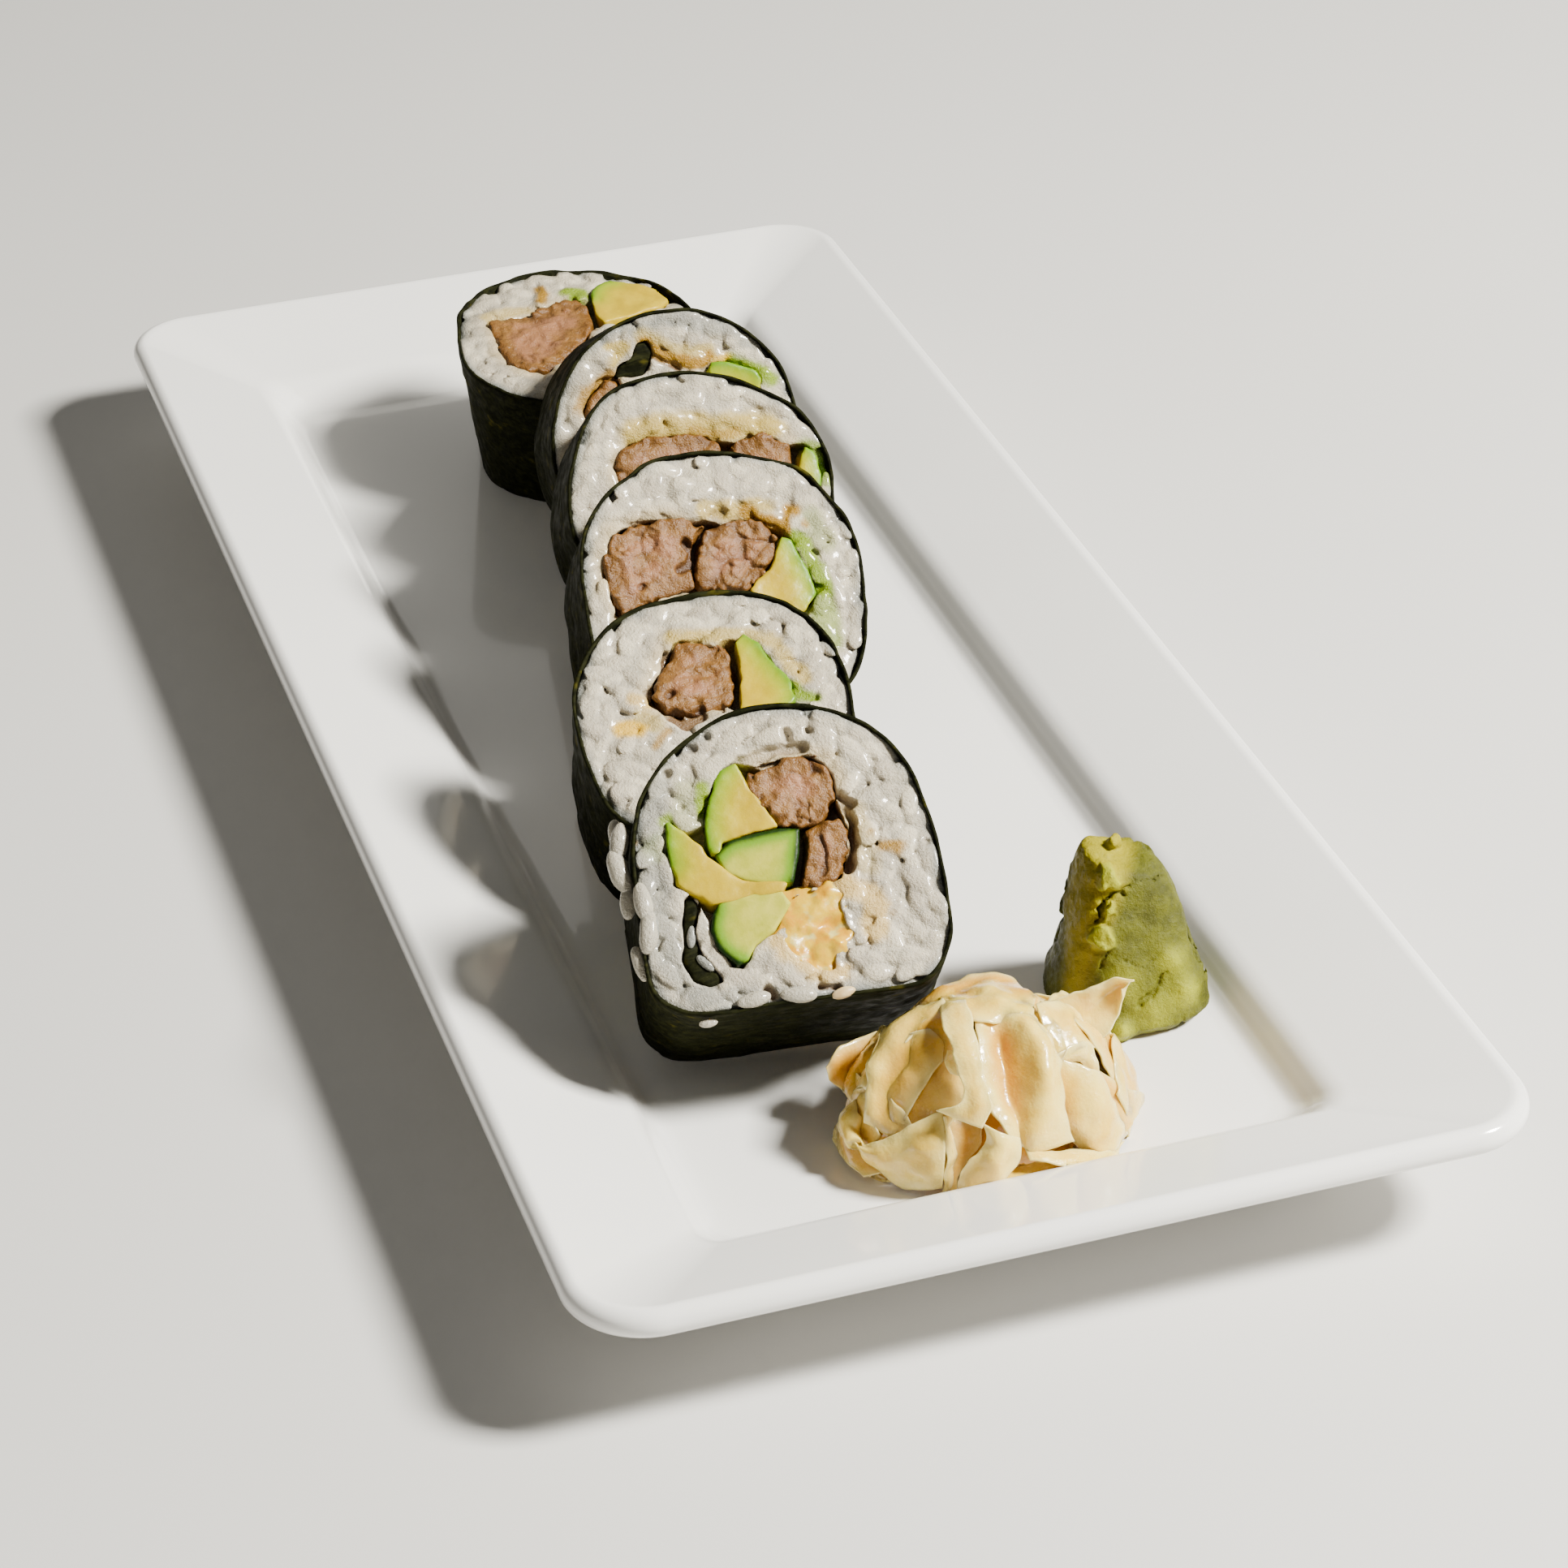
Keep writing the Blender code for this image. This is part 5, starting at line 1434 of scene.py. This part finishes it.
def build_ginger(look):
    """Overlapping slices on a lumpy core, and one slice that stands up on its own."""
    made = [sheet(lines, front_points, 200 + 5 * i) for i, lines in enumerate(GINGER_SLICES.values())]
    made += [sheet(lines, mound_points, 400 + 5 * i) for i, lines in enumerate(back_slices())]
    made.append(ginger_core())
    faces = []
    total = 0
    for part, part_faces, _, _ in made:
        faces += [tuple(total + corner for corner in face) for face in part_faces]
        total += len(part)
    points, rims, depths = (np.concatenate([part[k] for part in made]) for k in (0, 2, 3))
    # painted shade: amber grows with depth into the heap
    amber_shade = smooth_step(-depths, -0.5, 2.4)
    add_ginger("ginger_slices", points, faces, rims, amber_shade, look, "ginger_heap")
    points, faces, rims, _ = sheet(GINGER_RAISED, lambda spots: front_points(spots, False), 90)
    add_ginger("ginger_raised_slice", points, faces, rims, np.zeros(len(points)), look, "ginger_raised")


def add_ginger(name, points, faces, rims, amber_shade, look, node):
    """Paints slices of ginger and puts them into the scene."""
    mesh = bpy.data.meshes.new(name)
    mesh.from_pydata((points * MM).tolist(), [], faces)
    paint(mesh, "rim", np.exp(-rims / 1.3))
    paint(mesh, "amber_shade", amber_shade)
    add_piece(name, mesh, look, "ginger", node)


def ginger_core():
    """What lies under the slices: a lumpy mound, smaller than the heap."""
    seat, radii, _ = mound_shape()
    step = 0.7
    axes = [ticks(-radius, radius, step) for radius in radii * 0.9]
    axes[2] = np.arange(-step, radii[2], step)
    x, y, z = np.meshgrid(*axes, indexing="ij")
    size = np.sqrt((x / radii[0]) ** 2 + (y / radii[1]) ** 2 + (z / radii[2]) ** 2)
    field = (size - CORE_SHARE) * radii.mean() + fractal(x, y, z, 6.0, 51, 2)
    field = np.maximum(field, 0.2 - z)
    points, quads = surface(padded(field), axes)
    return points + seat, quads.tolist(), np.full(len(points), FAR), np.full(len(points), CORE_NEARER)


# ---------------------------------------------------------------- wasabi
def wasabi_relief(right, up, x, y, z):
    """How far the mound's surface rises at places seen from the front, and how cracked it is."""
    wobble_x = right + 0.5 * noise(x, y, z, 1.5, 71) + 0.35 * noise(x, y, z, 0.8, 72)
    wobble_z = up + 0.5 * noise(x, y, z, 1.5, 73) + 0.35 * noise(x, y, z, 0.8, 74)
    rise = 0.0
    for corners, height in WASABI_FLAPS:
        gap = polygon_distance(wobble_x, wobble_z, corners)
        rise = np.maximum(rise, height * (1 - smooth_step(gap, -0.5, 0.25)))
    for middle, reach, height in WASABI_BULGES:
        gap = np.hypot(right - middle[0], up - middle[1])
        rise = rise + height * np.exp(-(gap / reach) ** 2)
    crack = 0.0
    for points, width, depth in WASABI_CRACKS:
        gap = line_distance(wobble_x, wobble_z, points)
        ragged = width * (0.8 + 0.7 * noise(x, y, z, 1.2, 75))
        crack = np.maximum(crack, depth * (1 - smooth_step(gap, 0.1 * ragged, ragged)))
    return rise, crack


def front_side(x, y, z, middle):
    """Places as seen from the front, and 1 on the side of the mound that faces it."""
    away = [value - centre for value, centre in zip((x, y, z), middle)]
    right, up, near = (sum(way[k] * away[k] for k in range(3)) for way in FRONT)
    return right, up, smooth_step(near, -1.0, 3.0)


def pressed_mound(x, y, z, middle):
    """The plain mound: pressed flat on four sides, a slanted top and a crumb on it."""
    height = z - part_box("wasabi")[0][2] / MM
    rows = np.array(WASABI_ROWS)
    centre_x, centre_y, half_x, half_y = (np.interp(height, rows[:, 0], rows[:, k]) for k in range(1, 5))
    power = WASABI_SQUARE
    across, along = np.abs((x - centre_x) / half_x), np.abs((y - centre_y) / half_y)
    size = (across ** power + along ** power) ** (1 / power)
    field = (size - 1.0) * (half_x + half_y) / 2 * 0.9 + 0.4
    top = WASABI_TOP[0] + WASABI_TOP[1] * (x - middle[0]) + WASABI_TOP[2] * (y - middle[1])
    field = smooth_max(field, height - top, 1.2)
    (knob_x, knob_y, knob_z), radius = WASABI_KNOB
    knob = np.sqrt((x - knob_x) ** 2 + (y - knob_y) ** 2 + (height - knob_z) ** 2) - radius
    field = -smooth_max(-field, -knob - 0.7 * noise(x, y, z, 1.2, 87), 0.3)
    return smooth_max(field, 0.15 - height, 0.4)


def wasabi_field(x, y, z, middle):
    """The mound with cracks, flaps and crumbs on its front and shallow cracks behind."""
    field = pressed_mound(x, y, z, middle)
    right, up, facing = front_side(x, y, z, middle)
    rise, crack = wasabi_relief(right, up, x, y, z)
    field = field - facing * (rise - crack)
    back_crack = np.abs(noise(x, y, z, 7.0, 80) + 0.3 * noise(x, y, z, 2.0, 81))
    field = field + (1 - facing) * 0.8 * (1 - smooth_step(back_crack, 0.0, 0.10))
    field = field - 0.5 * noise(x, y, z, 7.0, 82) - 0.22 * fractal(x, y, z, 2.4, 83, 3)
    crumbs = np.maximum(noise(x, y, z, 1.3, 84) + 0.5 * noise(x, y, z, 0.8, 85), 0)
    return field - 1.1 * crumbs * facing * np.exp(-(line_distance(right, up, WASABI_RIDGE) / 1.6) ** 2)


def build_wasabi(look):
    """The pressed mound: flat cheeks, a crumbly ridge, cracks and flaps."""
    low, high = (np.array(corner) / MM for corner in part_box("wasabi"))
    axes = [ticks(low[k] - 1, high[k] + 1, WASABI_STEP) for k in range(3)]
    middle = (low + high) / 2
    points, faces = surface(padded(wasabi_field(*np.meshgrid(*axes, indexing="ij"), middle)), axes)
    mesh = slimmed(make_mesh("wasabi_mound", points * MM, faces), KEEP_WASABI)
    x, y, z = read_points(mesh).T / MM
    right, up, facing = front_side(x, y, z, middle)
    rise, crack = wasabi_relief(right, up, x, y, z)
    # painted shade in the cracks, by their depth
    paint(mesh, "crack", facing * np.clip(0.8 * crack, 0, 0.8))
    # painted light where the front rises in flaps and bulges
    paint(mesh, "flap_painted_light", facing * np.clip(rise, 0, 1))
    # painted light on the upper left of the front
    paint(mesh, "cheek_painted_light", facing * smooth_step(-right - 0.35 * (7.0 - up), -1.0, 2.5))
    add_piece("wasabi_mound", mesh, look, "wasabi", "wasabi")


# ---------------------------------------------------------------- plate
def plate_ring(inset, corner, z, steps):
    """A rounded rectangle at one height, anticlockwise from above."""
    half_x, half_y = PLATE_HALF_X - inset, PLATE_HALF_Y - inset
    ring = []
    for quarter, (sign_x, sign_y) in enumerate(((1, 1), (-1, 1), (-1, -1), (1, -1))):
        for step in range(steps + 1):
            angle = (quarter + step / steps) * math.pi / 2
            ring.append((sign_x * (half_x - corner) + corner * math.cos(angle),
                         sign_y * (half_y - corner) + corner * math.sin(angle), z))
    return ring


def build_plate(look):
    """The plate, with rounder curves than the CAD's."""
    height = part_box("plate")[1].z / MM
    steps = 20
    lip = []
    for angle in np.linspace(-math.pi / 2, math.pi / 2, 17):
        inset = LIP_RADIUS * (1.0 - math.cos(angle))
        lip.append((inset, PLATE_CORNER - inset, height - LIP_RADIUS + LIP_RADIUS * math.sin(angle)))
    under = smooth_line(UNDER_ROWS, 60)
    upper = smooth_line([lip[-1], *UPPER_ROWS], 90)[1:]
    rows = np.vstack([under, lip, upper])
    rings = [plate_ring(*row, steps) for row in rows]
    count = len(rings[0])
    faces = grid_faces(len(rings), count, closed_columns=True)
    faces.append(list(range(count))[::-1])
    faces.append(list(range((len(rings) - 1) * count, len(rings) * count)))
    mesh = bpy.data.meshes.new("plate_glazed")
    mesh.from_pydata((np.vstack(rings) * MM).tolist(), [], faces)
    points = read_points(mesh)
    points[:, 2] = np.maximum(points[:, 2], 0.0)
    write_points(mesh, points)
    add_piece("plate_glazed", mesh, look, "porcelain", "plate")


# ---------------------------------------------------------------- stage
def build_floor():
    """A plain pale floor just under the plate."""
    bpy.ops.mesh.primitive_plane_add(size=8.0, location=(0, 0, -0.5 * MM))
    floor = bpy.context.object
    floor.name = "floor"
    look = Look("floor", Roughness=0.7)
    floor.data.materials.append(look.finish(look.mottled(400.0, (0.60, 0.59, 0.57), (0.63, 0.62, 0.60))))


def build_lights():
    """Soft light from the right, a little from the left and the back, and a dim world."""
    scene = bpy.context.scene
    target = (cad_box[0] + cad_box[1]) / 2
    for name, towards, distance, size, power in LIGHTS:
        data = bpy.data.lights.new(name, "AREA")
        data.color = LIGHT_TINT
        data.size = size
        data.energy = power
        lamp = bpy.data.objects.new(name, data)
        scene.collection.objects.link(lamp)
        away = Vector(towards).normalized()
        lamp.location = target + away * distance
        lamp.rotation_euler = away.to_track_quat("Z", "Y").to_euler()
    world = bpy.data.worlds.new("studio")
    world.use_nodes = True
    background = world.node_tree.nodes["Background"]
    background.inputs["Color"].default_value = (*LIGHT_TINT, 1.0)
    background.inputs["Strength"].default_value = WORLD_STRENGTH
    scene.world = world


def build_camera():
    """A camera at the reference's angle."""
    scene = bpy.context.scene
    data = bpy.data.cameras.new("camera")
    data.lens = CAMERA_LENS
    data.sensor_width = SENSOR_WIDTH
    camera = bpy.data.objects.new("camera", data)
    scene.collection.objects.link(camera)
    right, up = Vector(CAMERA_RIGHT), -Vector(CAMERA_DOWN)
    turned = Matrix((right, up, right.cross(up))).transposed().to_4x4()
    camera.matrix_world = Matrix.Translation(CAMERA_PLACE) @ turned
    scene.camera = camera


build_floor()
build_lights()
build_camera()
LOOKS = {"nori": nori_look(), "rice": rice_look(), "tuna": tuna_look(), "avocado": avocado_look(),
         "cucumber": cucumber_look(), "egg_mayo": egg_look(), "seed": seed_look()}
build_plate(glaze_look())
build_slices(LOOKS)
build_ginger(ginger_look())
build_wasabi(wasabi_look())
